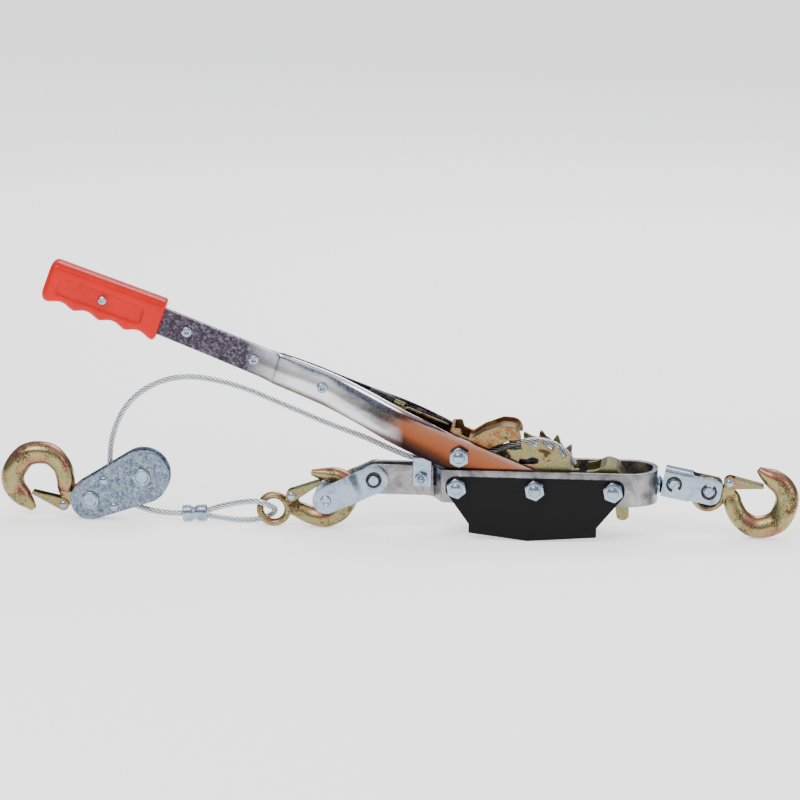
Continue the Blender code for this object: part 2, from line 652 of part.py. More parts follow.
def build_handle():
    handle = empty("handle_joint", 0, 0, parent=WINCH)
    for side_name, sign in (("near", -1), ("far", 1)):
        handle_plate(f"handle_plate_{side_name}", sign, handle)

    half_y = 12.5
    grip = plate("grip", [grip_outline()], -half_y, half_y)
    edge = grip.modifiers.new("edge", "BEVEL")
    edge.width = 4.2 * MM
    edge.segments = 3
    edge.limit_method = "ANGLE"
    edge.angle_limit = math.radians(60)
    slope = Matrix.Translation(metres((GRIP_SCREW[0], 0, GRIP_SCREW[1]))) @ Matrix.Rotation(
        math.pi - GRIP_SLOPE, 4, "Y") @ Matrix.Diagonal((-1, 1, 1, 1))
    grip.data.transform(slope)
    grip.data.flip_normals()
    slot = [(s[0], s[1], s[2] + 0.9) for s in smooth(HANDLE_STATIONS[-3:], 6) if s[0] < -320]
    last = Vector(slot[-1][:2])
    slot.append((*(last + Vector((-1.0, 0.35))), slot[-1][2]))
    upper, lower = [], []
    for i, (x, z, half) in enumerate(slot):
        a = Vector(slot[max(i - 1, 0)][:2])
        b = Vector(slot[min(i + 1, len(slot) - 1)][:2])
        along = (b - a).normalized()
        normal = Vector((along.y, -along.x))
        upper.append(Vector((x, z)) + normal * half)
        lower.append(Vector((x, z)) - normal * half)
    boolean(grip, plate("grip_slot", [upper + lower[::-1]], -3.7, 3.7))
    boolean(grip, cylinder("grip_hole", *GRIP_SCREW, 2.2 + GAP, -20, 20, 16))
    keep(grip, "red_plastic", handle)
    rivet("grip_screw", *GRIP_SCREW, half_y, handle, 2.2, 3.8, 1.4)
    for name, (x, z), half in (("handle_rivet_1", RIVET_1, 3.25), ("handle_rivet_2", RIVET_2, 3.25),
                               ("handle_rivet_3", RIVET_3, 7.7)):
        rivet(name, x, z, half, handle)

    face = FORK_MID_Y + HANDLE_THICK / 2 + GAP
    bolt("pawl_bolt", *PAWL_BOLT, BOLT_R, 15.0, face, 5.0, -face - 9.5, handle)
    nut("pawl_nut", *PAWL_BOLT, BOLT_R, NUT_ACROSS_FLATS, -face - 7.0, -face, handle, 0.5)
    build_drive_pawl(handle)


def build_drive_pawl(handle):
    pawl = empty("drive_pawl_joint", *PAWL_BOLT, parent=handle)
    side = fillet([(-77.5, 26, 6), (-68.5, 16.6, 7), (-58, 22, 4), (-38, 35.0, 4), (-24, 40.6, 3),
                   (-16.5, 41.2, 0), (-13.6, 41.6, 0), (-13.8, 47.5, 3), (-22, 53.3, 6), (-36, 53.4, 8),
                   (-47, 48.6, 8), (-58, 40.5, 6), (-66, 42.5, 2), (-68.5, 51, 2), (-77.5, 50.5, 2)])
    half, inner = 21.5, 18.6
    body = plate("drive_pawl", [side, circle(*PAWL_BOLT, BOLT_R + GAP)], -half, half)
    boolean(body, box("pawl_inside", -74.4, 0, -inner, inner, 0, 70))
    cross = (-27.5, 46.2)
    boolean(body, cylinder("pawl_pin_hole", *cross, 3.0 + GAP, -30, 30, 16))
    keep(body, "yellow_zinc", pawl)
    end = half + 0.9
    keep(turned("pawl_cross_pin", [(0, end), (3.0, end), (3.0, -end), (0, -end)], across(*cross), 16),
         "yellow_zinc", pawl)

    anchor, tail = Vector((-186.0, 0, 91.5)), Vector((-78.2, 0, 49.3))
    along = (tail - anchor).normalized()
    wire = [anchor, anchor + along * 36]
    low_loop = [Vector((-193.8, 0, 88.6)), Vector((-190.5, 0, 90.6))]
    keep(tube("spring_wire", [*low_loop, *wire], 2, r=1.0), "black_spring", handle)
    heading = math.atan2(along.x, along.z)

    def on_line(distance):
        return (Matrix.Translation((anchor + along * distance) * MM)
                @ Matrix.Rotation(heading, 4, "Y"))

    keep(turned("spring_sleeve", [(0, 24), (4.4, 23), (4.8, 19), (4.8, 2), (4.2, 0), (0, 0)],
                on_line(36 + GAP), 16), "black_spring", handle)
    reach = (tail - anchor).length - 36 - 24 - 3 * GAP
    keep(turned("spring_coil", [(0, reach), (1.4, reach), (1.4, 11), (3.6, 10), (3.6, 0), (0, 0)],
                on_line(60 + 2 * GAP), 12), "yellow_zinc", handle)


def build_hold_pawl():
    pawl = empty("hold_pawl_joint", BOLT_X[2], 0, parent=WINCH)
    side = fillet([(79.6, 9, 6), (73, 18, 6), (64, 20.5, 6), (53, 15.5, 6), (45.0, 14.6, 1.5),
                   (44.6, 9.5, 0.5), (56, 5, 4), (61, -8, 7), (70, -11.5, 2), (73, -33, 5), (84, -33, 5),
                   (82.6, -12, 6)])
    half = 20.5
    body = plate("hold_pawl", [side, circle(BOLT_X[2], 0, BOLT_R + GAP)], -half, half)
    boolean(body, box("hold_pawl_nose_gap", 30, 57.5, -16.2, 16.2, -5, 30))
    for label, sign in (("a", -1), ("b", 1)):
        y0, y1 = sorted((sign * 6.0, sign * 30.0))
        boolean(body, box(f"hold_pawl_tail_side_{label}", 60, 95, y0, y1, -45, -11.0))
    keep(body, "yellow_zinc", pawl)


def build_rear():
    """The swivel stud through the frame's end, the link on it and the rear hook."""
    swivel = empty("swivel_joint", STRAP_REAR_X, 0, parent=WINCH)
    inside = STRAP_REAR_X - STRAP_THICK / 2 - 2 * GAP
    outside = STRAP_REAR_X + STRAP_THICK / 2 + GAP
    stem = [(0, inside - 7), (8.4, inside - 7), (8.4, inside), (6.0, inside), (6.0, outside),
            (8.4, outside), (8.4, outside + 1.6), (5.2, outside + 3.4), (5.2, STUD_PIN[0]), (0, STUD_PIN[0])]
    along_x = Matrix.Rotation(math.pi / 2, 4, "Y")
    stud = turned("swivel_stud", [(r, x) for r, x in reversed(stem)], along_x, 20)
    boolean(stud, cylinder("stud_eye", *STUD_PIN, 9.0, -5.6, 5.6, 20), "UNION")
    boolean(stud, cylinder("stud_pin_hole", *STUD_PIN, PIN_R + GAP, -20, 20))
    keep(stud, "zinc", swivel)

    link = empty("rear_link_joint", *STUD_PIN, parent=swivel)
    inner_y, thick = 6.6, 3.0
    outer_y = inner_y + thick
    side = turned_outline(fillet([(-10.0, 13.0, 1.5), (15.0, 13.0, 0.8), (16.6, 11.4, 0.8), (43.0, 11.4, 5.5),
                                  (43.0, -11.8, 9), (16.6, -11.8, 0.8), (15.0, -13.6, 0.8),
                                  (-10.0, -13.6, 1.5)]), STUD_PIN, LINK_SLOPE)
    body = plate("rear_link", [side], -outer_y, outer_y)
    gap = turned_outline([(-20, -11.0), (15.6, -11.0), (15.6, -30), (60, -30), (60, 30), (15.6, 30),
                          (15.6, 10.4), (-20, 10.4)], STUD_PIN, LINK_SLOPE)
    boolean(body, plate("link_inside", [gap], -inner_y, inner_y))
    for i, pin in enumerate((STUD_PIN, HOOK_PIN)):
        boolean(body, cylinder(f"rear_link_hole_{i}", *pin, PIN_R + GAP, -20, 20))
    keep(body, "zinc", link)
    face = outer_y + GAP
    for label, pin, opening in (("front", STUD_PIN, -90), ("rear", HOOK_PIN, 90)):
        keep(turned(f"{label}_clevis_pin", [(0, face + 2.2), (6.6, face + 2.2), (6.6, face), (PIN_R, face),
                                            (PIN_R, -face - 1.8), (0, -face - 1.8)], across(*pin)),
             "zinc", link)
        keep(plate(f"{label}_pin_clip", [clip_outline(pin, opening)], -face - 1.1, -face),
             "black_spring", link)

    hook = empty("rear_hook_joint", *HOOK_PIN, parent=link)
    place = hook_place(HOOK_PIN[0] - 1.0, HOOK_PIN[1] - 4.3, REAR_HOOK_SLOPE)
    slip_hook("rear_hook", place, hook, hook_sweep(), LATCH_PIVOT, BOSS_ROOT)
    pivot = placed_pivot(place, LATCH_PIVOT)
    keeper = empty("rear_latch_joint", pivot.x, pivot.z, parent=hook)
    latch("rear_latch", place @ Matrix.Translation(metres((LATCH_PIVOT[0], 0, LATCH_PIVOT[1]))),
          keeper, LATCH_TILT)


def clip_outline(pin, opening):
    """An E-clip: an open ring with its gap at the opening's angle."""
    start = math.radians(opening + 32)
    end = math.radians(opening + 328)
    steps = 16
    angles = [start + (end - start) * k / steps for k in range(steps + 1)]
    outer = [Vector((pin[0] + 7.2 * math.cos(a), pin[1] + 7.2 * math.sin(a))) for a in angles]
    inner = [Vector((pin[0] + (PIN_R + GAP) * math.cos(a), pin[1] + (PIN_R + GAP) * math.sin(a)))
             for a in reversed(angles)]
    return outer + inner


def build_block():
    block = empty("block_joint", *SHEAVE_AXLE, BLOCK_Y, parent=WINCH)
    inner, thick = 6.6, 2.5
    outline = belt(SHEAVE_AXLE, 24.6, BLOCK_PIN, 18.3, math.radians(15))
    holes = [circle(*SHEAVE_AXLE, 5.0 + GAP), circle(*BLOCK_PIN, 5.0 + GAP)]
    holes += [circle(*k, 2.2 + GAP, 14) for k in KEEPERS]
    for side_name, sign in (("near", -1), ("far", 1)):
        y0, y1 = sorted((BLOCK_Y + sign * inner, BLOCK_Y + sign * (inner + thick)))
        keep(plate(f"block_plate_{side_name}", [outline, *holes], y0, y1), "zinc", block)
    half = inner + thick
    for i, k in enumerate(KEEPERS):
        rivet(f"keeper_rivet_{i + 1}", *k, half, block, 2.2, 3.8, 1.8, BLOCK_Y)
    for name, at in (("sheave_axle", SHEAVE_AXLE), ("block_hook_pin", BLOCK_PIN)):
        top = half + GAP
        keep(turned(name, [(0, top + 2.6), (7.0, top + 2.6), (7.8, top + 1.8), (7.8, top), (5.0, top),
                           (5.0, -top), (7.8, -top), (7.8, -top - 1.8), (7.0, -top - 2.6),
                           (0, -top - 2.6)], across(*at, BLOCK_Y)), "zinc", block)
    sheave = empty("sheave_joint", *SHEAVE_AXLE, BLOCK_Y, parent=block)
    keep(turned("sheave", [(22.0, 6.0), (22.0, 4.8), (18.2, 2.4), (17.6, 0), (18.2, -2.4), (22.0, -4.8),
                           (22.0, -6.0), (5.0 + GAP, -6.0), (5.0 + GAP, 6.0)],
                across(*SHEAVE_AXLE, BLOCK_Y), 24, ring=True), "zinc", sheave)

    hook = empty("block_hook_joint", *BLOCK_PIN, BLOCK_Y, parent=block)
    slope = BLOCK_HOOK_SLOPE
    eye = (BLOCK_PIN[0] + 3.4 * math.cos(slope), BLOCK_PIN[1] + 3.4 * math.sin(slope))
    place = hook_place(*eye, slope, BLOCK_Y)
    slip_hook("block_hook", place, hook, hook_sweep(), LATCH_PIVOT, BOSS_ROOT)
    pivot = placed_pivot(place, LATCH_PIVOT)
    keeper = empty("block_latch_joint", pivot.x, pivot.z, BLOCK_Y, parent=hook)
    latch("block_latch", place @ Matrix.Translation(metres((LATCH_PIVOT[0], 0, LATCH_PIVOT[1]))),
          keeper, LATCH_TILT)


def build_end_hook():
    place = hook_place(*END_HOOK_EYE, END_HOOK_SLOPE)
    slip_hook("end_hook", place, WINCH, end_hook_sweep(), END_LATCH_PIVOT, END_BOSS_ROOT)
    pivot = placed_pivot(place, END_LATCH_PIVOT)
    keeper = empty("end_latch_joint", pivot.x, pivot.z, parent=WINCH)
    latch("end_latch", place @ Matrix.Translation(metres((END_LATCH_PIVOT[0], 0, END_LATCH_PIVOT[1]))),
          keeper, END_LATCH_TILT)


# The cable's route, from the top of the wound cable to the ferrule: x, y, z
CABLE_ON_DRUM = [(37.6 * math.cos(math.radians(a)), 0.0, 37.6 * math.sin(math.radians(a)))
                 for a in (25, 45, 65, 85, 100)]
CABLE_ROUTE = [
    (-23.5, 0, 32.8), (-41.5, 0, 26.0), (-56.0, 0, 20.6), (-68.5, 0, 18.2), (-85.0, 0, 18.0),
    (-103.0, 0, 18.1), (-115.9, 0, 19.9), (-135.5, 0.6, 27.4), (-155.0, 1.4, 35.6),
    (-179.5, 2.5, 44.2), (-199.0, 3.5, 51.4), (-231.0, 5.3, 64.0), (-263.4, 7.0, 76.4),
    (-292.0, 8.6, 83.6), (-315.0, 9.8, 85.6), (-337.4, 10.8, 82.0), (-360.0, 11.5, 70.2),
    (-376.0, 11.9, 52.6), (-385.4, 12.0, 30.0), (-388.2, 12.0, 9.0), (-386.4, 12.0, -8.0),
    (-380.6, 12.0, -22.0), (-370.0, 12.0, -32.4), (-357.0, 11.6, -37.8), (-343.0, 10.4, -40.4),
    (-330.0, 8.9, -41.0), (-321.9, 7.9, -40.6)]
LOOP_ROUTE = [
    (-298.1, 7.2, -36.9), (-288.0, 5.6, -33.2), (-275.0, 1.6, -29.0), (-262.0, -4.2, -25.6),
    (-251.5, -7.6, -24.2), (-244.2, -7.7, -26.2), (-239.2, -4.6, -29.4), (-236.6, 0.4, -32.4),
    (-237.0, 4.9, -35.6), (-240.6, 7.8, -39.4), (-247.0, 8.3, -42.6), (-256.0, 8.0, -44.6),
    (-270.0, 7.6, -45.0), (-285.0, 7.4, -43.6), (-298.1, 7.4, -41.9)]


def build_cable():
    keep(tube("free_cable", smooth(CABLE_ON_DRUM + CABLE_ROUTE, 2), 2, r=CABLE_R), "wire_rope", WINCH)
    keep(tube("cable_loop", smooth(LOOP_ROUTE, 2), 2, r=CABLE_R), "wire_rope", WINCH)
    half = 11.3
    ferrule = turned("ferrule", [(0, half), (6.4, half), (7.8, half - 1), (7.8, 1 - half), (6.4, -half),
                                 (0, -half)],
                     Matrix.Translation(metres(FERRULE)) @ Matrix.Rotation(math.radians(87), 4, "Y")
                     @ Matrix.Diagonal((1.0, 0.72, 1.0, 1.0)), 20)
    keep(ferrule, "zinc", WINCH)


clear_scene()
PARTS = collection(NAME)
CUTTERS = collection("cutters")
WINCH = empty("winch", 0, 0)
WINCH.location = metres((AXLE_X, AXLE_Y, AXLE_Z))

build_frame()
build_neck()
build_drum()
build_handle()
build_hold_pawl()
build_rear()
build_block()
build_end_hook()
build_cable()
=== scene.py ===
"""Finished surfaces of a come-along winch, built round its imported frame.

The builders work in millimetres from the drum's axle: x along the winch, y across it (the nuts
are at -y) and z up. settle() carries a piece from there to its place in the frame, in metres.
"""
import json
import math

import bmesh
import bpy
from bpy.props import FloatProperty, FloatVectorProperty, IntProperty, PointerProperty
from mathutils import Matrix, Vector


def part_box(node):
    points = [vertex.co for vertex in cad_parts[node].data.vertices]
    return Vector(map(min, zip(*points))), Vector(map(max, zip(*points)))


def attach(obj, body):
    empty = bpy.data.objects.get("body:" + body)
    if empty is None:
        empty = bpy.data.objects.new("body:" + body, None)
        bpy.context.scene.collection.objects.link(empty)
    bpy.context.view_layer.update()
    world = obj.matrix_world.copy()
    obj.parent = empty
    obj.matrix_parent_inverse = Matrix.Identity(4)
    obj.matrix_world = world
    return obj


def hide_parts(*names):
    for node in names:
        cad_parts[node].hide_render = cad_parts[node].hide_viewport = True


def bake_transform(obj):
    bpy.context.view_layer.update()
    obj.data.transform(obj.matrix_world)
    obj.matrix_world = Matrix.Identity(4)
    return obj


bl_info = {
    "name": "Come-along winch",
    "version": (1, 0, 0),
    "blender": (4, 5, 0),
    "location": "View3D > Sidebar > Winch",
    "description": "Builds the finished surfaces of a hand ratchet cable puller",
    "category": "Object",
}

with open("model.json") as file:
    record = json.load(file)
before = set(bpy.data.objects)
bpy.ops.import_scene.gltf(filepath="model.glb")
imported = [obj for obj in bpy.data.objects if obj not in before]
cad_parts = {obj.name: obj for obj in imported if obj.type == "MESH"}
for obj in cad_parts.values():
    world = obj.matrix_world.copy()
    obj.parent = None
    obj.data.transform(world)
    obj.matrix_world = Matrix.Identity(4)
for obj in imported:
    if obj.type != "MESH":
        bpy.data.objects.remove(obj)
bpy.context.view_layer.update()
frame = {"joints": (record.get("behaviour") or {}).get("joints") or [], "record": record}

MM = 0.001
GAP = 0.4
JOINTS = {j["name"]: Vector(j["pos_m"]) for j in frame["joints"]}
AXLE = JOINTS["drum_spin"]
BODY_OF = {node: body for body, nodes in frame["record"]["behaviour"]["bodies"].items()
           for node in nodes}


def hinge(name):
    """A hinge's (x, z) in bench millimetres."""
    at = (JOINTS[name] - AXLE) / MM
    return at.x, at.z


def corners_of(node):
    lo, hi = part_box(node)
    return (lo - AXLE) / MM, (hi - AXLE) / MM


def middle(node):
    """The (x, z) of the middle of a node's box, in bench millimetres."""
    lo, hi = corners_of(node)
    return (lo.x + hi.x) / 2, (lo.z + hi.z) / 2


def reach(node, axis=1):
    """How far a node goes along an axis, in bench millimetres."""
    lo, hi = corners_of(node)
    return lo[axis], hi[axis]


NECK_PIN = hinge("front_link_hinge")
LINK_PIN = middle("link_pin")
PAWL_BOLT = hinge("drive_pawl_lift")
REAR_BOLT = hinge("hold_pawl_lift")
STUD_PIN = hinge("rear_link_hinge")
HOOK_PIN = hinge("rear_hook_hinge")
SHEAVE_AXLE = hinge("block_swing")
BLOCK_PIN = hinge("block_hook_hinge")
BLOCK_Y = (JOINTS["block_swing"].y - AXLE.y) / MM
GRIP_SCREW = middle("grip_screw")
SADDLE_BOLT = middle("guide_bolt")
FRAME_BOLTS = [middle(f"{label}_bolt") for label in ("front", "axle", "rear")]
PIN_R = 4.3
BOLT_R = 5.0
NECK_PIN_R = 4.6
LINK_PIN_R = 4.5
SADDLE_BOLT_R = 3.0
RIVET_R = 2.5
GRIP_SCREW_R = 2.2
STUD_R = 6.0
LATCH_RIVET_R = 2.0
DRUM_CORE_R = 14.0
BLOCK_PIN_R = 5.0
KEEPER_R = 2.2
MERGE = 1e-6
HEAD_HEIGHTS = {"front": 6.4, "axle": 6.4, "rear": 6.4, "guide": 4.0, "pawl": 5.0}


# ---- settings ---------------------------------------------------------------------------------

def linear(code):
    """An sRGB hex colour as linear red, green, blue and alpha."""
    parts = [int(code[i:i + 2], 16) / 255 for i in (1, 3, 5)]
    return (*[c / 12.92 if c <= 0.04045 else ((c + 0.055) / 1.055) ** 2.4 for c in parts], 1.0)


def length(name, text, default):
    return FloatProperty(name=name, description=text, default=default, min=0, unit="LENGTH")


def colour(name, text, code):
    return FloatVectorProperty(name=name, description=text, default=linear(code), size=4,
                               min=0, max=1, subtype="COLOR")


class WinchSizes(bpy.types.PropertyGroup):
    """Sizes that a maker would change."""
    rope: length("Rope diameter", "Thickness of the wire rope", 0.0048)
    lay: length("Rope lay", "Length in which a strand goes once round the rope", 0.030)
    strands: IntProperty(name="Strands", description="Strands in the rope", default=6, min=3)
    teeth: IntProperty(name="Teeth", description="Teeth on each ratchet wheel", default=17, min=5)
    tooth_tip: length("Tooth tip", "Radius of the circle of tooth tips", 0.0425)
    tooth_root: length("Tooth root", "Radius at the foot of the teeth", 0.0355)
    forging: length("Forging grain", "Cell size that melts a hook's parts into one", 0.0006)
    thread: length("Thread pitch", "Pitch of the bolt threads", 0.0015)
    grip_thickness: length("Grip thickness", "Thickness of the grip", 0.025)


class WinchColours(bpy.types.PropertyGroup):
    """Tints of the finishes, with the painted reflection colours of the handle's chrome."""
    grip: colour("Grip", "Moulded orange-red", "#cc1006")
    enamel: colour("Enamel", "Side plates", "#050405")
    steel_light: colour("Steel, light", "Strap where it is bright", "#a19f9f")
    steel_dark: colour("Steel, dark", "Strap where it is dull", "#5f5c61")
    zinc_light: colour("Zinc, light", "Plating where it is bright", "#9cabbb")
    zinc_mid: colour("Zinc, clouded", "Smooth plating where it is dull", "#7c8ca0")
    zinc_dark: colour("Zinc, dark", "Plating between its crystals", "#4a586c")
    gold: colour("Chromate, gold", "Main tint of the yellow plating", "#9c875f")
    amber: colour("Chromate, amber", "Heavier film on the drive pawl", "#8e5c36")
    pink: colour("Chromate, pink", "Thin film tint", "#a06d5c")
    green: colour("Chromate, green", "Thin film tint", "#86895f")
    brown: colour("Chromate, brown", "Tint in dull, rough zones", "#4c3c28")
    # the light stripe on the handle's bend: a painted reflection colour
    chrome_reflection_light: colour("Chrome, light", "Handle where it is clear", "#a3a6b4")
    # the fork's copper: partly a heat tint, partly a painted reflection of warm surroundings
    copper_tint_and_reflection: colour("Chrome, burnt", "Handle's fork, where it is copper", "#7d4429")
    chrome_dark: colour("Chrome, dark", "Handle where it is tinted", "#1e1a28")


# ---- nodes and materials ----------------------------------------------------------------------

def add_node(tree, kind, inputs=None, **settings):
    """Add a node, set its properties, and fill or link its inputs."""
    made = tree.nodes.new(kind)
    for key, value in settings.items():
        setattr(made, key, value)
    for key, value in (inputs or {}).items():
        if isinstance(value, bpy.types.Node):
            tree.links.new(value.outputs[0], made.inputs[key])
        elif isinstance(value, bpy.types.NodeSocket):
            tree.links.new(value, made.inputs[key])
        else:
            made.inputs[key].default_value = value
    return made


def per(size):
    """A texture's scale for features about size millimetres across."""
    return 1 / (size * MM)


def set_stops(ramp, *stops):
    """Give a colour ramp its (place, colour) stops."""
    elements = ramp.color_ramp.elements
    while len(elements) < len(stops):
        elements.new(0.5)
    for element, (place, tint) in zip(elements, stops):
        element.position = place
        element.color = tint
    return ramp


def surface(name, metallic, roughness, **constants):
    """A new material: its node tree, its shader and the object's own coordinates."""
    made = bpy.data.materials.new(name)
    made.use_nodes = True
    shader = made.node_tree.nodes["Principled BSDF"]
    for key, value in {"metallic": metallic, "roughness": roughness, **constants}.items():
        words = key.replace("_", " ").title().replace("Ior", "IOR")
        shader.inputs[words].default_value = value
    where = add_node(made.node_tree, "ShaderNodeTexCoord").outputs["Object"]
    return made, made.node_tree, shader, where


def tinted_metal(name, stops, patch, grit, polish, relief, stretch=(1, 1, 1), flake=0.0, wave=0.0):
    """A plated or rolled metal: tint drifting in patches, grit in its polish and in its relief.

    patch and grit are millimetres across, relief and wave are millimetres deep, and flake is
    the size of the plating's crystals.
    """
    made, tree, shader, where = surface(name, 1.0, 0.3)
    drawn = add_node(tree, "ShaderNodeMapping", {"Vector": where, "Scale": stretch})
    patches = add_node(tree, "ShaderNodeTexNoise",
                       {"Vector": where, "Scale": per(patch), "Detail": 4.0, "Distortion": 0.8})
    fine = add_node(tree, "ShaderNodeTexNoise", {"Vector": drawn, "Scale": per(grit), "Detail": 3.0})
    spread = add_node(tree, "ShaderNodeMapRange", {"Value": patches, "From Min": 0.30, "From Max": 0.70})
    ramp = add_node(tree, "ShaderNodeValToRGB", {"Fac": spread.outputs[0]})
    tint = set_stops(ramp, *stops).outputs["Color"]
    height = fine.outputs[0]
    if flake:
        cells = add_node(tree, "ShaderNodeTexVoronoi", {"Vector": where, "Scale": per(flake)})
        grey = add_node(tree, "ShaderNodeSeparateColor", {"Color": cells.outputs["Color"]})
        shade = add_node(tree, "ShaderNodeMapRange",
                         {"Value": grey.outputs[0], "To Min": 0.6, "To Max": 1.1})
        mixed = add_node(tree, "ShaderNodeVectorMath", {0: tint, "Scale": shade.outputs[0]},
                         operation="SCALE")
        tint = mixed.outputs[0]
        height = grey.outputs[0]
    tree.links.new(tint, shader.inputs["Base Color"])
    rough = add_node(tree, "ShaderNodeMapRange",
                     {"Value": fine.outputs[0], "From Min": 0.3, "From Max": 0.7,
                      "To Min": polish[0], "To Max": polish[1]})
    tree.links.new(rough.outputs[0], shader.inputs["Roughness"])
    bump = add_node(tree, "ShaderNodeBump",
                    {"Height": height, "Strength": 0.5, "Distance": relief * MM})
    if wave:
        swell = add_node(tree, "ShaderNodeTexNoise",
                         {"Vector": where, "Scale": per(16.0), "Detail": 1.0})
        bump = add_node(tree, "ShaderNodeBump",
                        {"Height": swell, "Strength": 0.6, "Distance": wave * MM, "Normal": bump})
    tree.links.new(bump.outputs[0], shader.inputs["Normal"])
    return made


def rolled_steel():
    """Hot-rolled strap, tumbled and clear plated: satin, with faint lines along the strap."""
    c = bpy.context.scene.winch_colours
    return tinted_metal("satin_rolled_steel", ((0.0, c.steel_dark), (1.0, c.steel_light)),
                        16.0, 0.5, (0.20, 0.36), 0.015, (0.08, 1, 1), wave=0.12)


def spangled_zinc():
    """Electroplated zinc with blue passivate: cool grey, sparkling with small crystals."""
    c = bpy.context.scene.winch_colours
    return tinted_metal("spangled_zinc", ((0.0, c.zinc_dark), (1.0, c.zinc_light)),
                        3.0, 0.6, (0.26, 0.46), 0.05, flake=0.7)


def smooth_zinc():
    """The same plating on turned and pressed parts: smoother, brighter, hardly spangled."""
    c = bpy.context.scene.winch_colours
    return tinted_metal("smooth_zinc", ((0.0, c.zinc_mid), (0.5, c.zinc_light), (1.0, c.zinc_light)),
                        9.0, 0.8, (0.20, 0.34), 0.012)


def chromate_plate():
    """Yellow chromated zinc on pressed steel: gold with faint pink and green film colours."""
    c = bpy.context.scene.winch_colours
    return tinted_metal("yellow_chromate", ((0.0, c.brown), (0.2, c.gold), (0.5, c.green),
                                            (0.8, c.gold), (1.0, c.pink)),
                        14.0, 0.6, (0.24, 0.42), 0.05, flake=0.6)


def amber_chromate():
    """A heavier film of the same chromate, on the drive pawl: amber to copper, pale where rubbed."""
    c = bpy.context.scene.winch_colours
    return tinted_metal("amber_chromate", ((0.0, c.brown), (0.25, c.amber), (0.6, c.gold),
                                           (0.85, c.amber), (1.0, c.pink)),
                        18.0, 0.6, (0.24, 0.42), 0.05, flake=0.6)


def forged_chromate():
    """The same chromate on a forging: pink underneath, green and gold above, brown where rough. The pink,
    gold and green follow which way the surface faces, a painted sheen.
    """
    c = bpy.context.scene.winch_colours
    made, tree, shader, where = surface("forged_chromate", 1.0, 0.3)
    # painted sheen: the film colour shifts with which way each face points, as well as with the drifting film
    facing = add_node(tree, "ShaderNodeTexCoord").outputs["Normal"]
    upward = add_node(tree, "ShaderNodeSeparateXYZ", {"Vector": facing}).outputs["Z"]
    drift = add_node(tree, "ShaderNodeTexNoise", {"Vector": where, "Scale": per(24), "Detail": 2.0})
    film = add_node(tree, "ShaderNodeMath", {0: upward, 1: 0.30, 2: drift}, operation="MULTIPLY_ADD")
    ramp = add_node(tree, "ShaderNodeValToRGB", {"Fac": film})
    set_stops(ramp, (0.18, c.pink), (0.40, c.gold), (0.50, c.green), (0.62, c.gold), (0.78, c.pink))
    zones = add_node(tree, "ShaderNodeTexNoise", {"Vector": where, "Scale": per(17), "Detail": 2.0})
    speck = add_node(tree, "ShaderNodeTexNoise", {"Vector": where, "Scale": per(1.1), "Detail": 4.0})
    rough = add_node(tree, "ShaderNodeMath", {0: speck, 1: 0.9, 2: zones}, operation="MULTIPLY_ADD")
    scale = add_node(tree, "ShaderNodeMapRange", {"Value": rough, "From Min": 0.98, "From Max": 1.12})
    mixed = add_node(tree, "ShaderNodeMix", data_type="RGBA")
    tree.links.new(scale.outputs[0], mixed.inputs["Factor"])
    tree.links.new(ramp.outputs[0], mixed.inputs[6])
    mixed.inputs[7].default_value = c.brown
    tree.links.new(mixed.outputs[2], shader.inputs["Base Color"])
    polish = add_node(tree, "ShaderNodeMapRange",
                      {"Value": scale.outputs[0], "To Min": 0.30, "To Max": 0.55})
    tree.links.new(polish.outputs[0], shader.inputs["Roughness"])
    bump = add_node(tree, "ShaderNodeBump", {"Height": speck, "Strength": 0.6, "Distance": 0.00015})
    tree.links.new(bump.outputs[0], shader.inputs["Normal"])
    return made


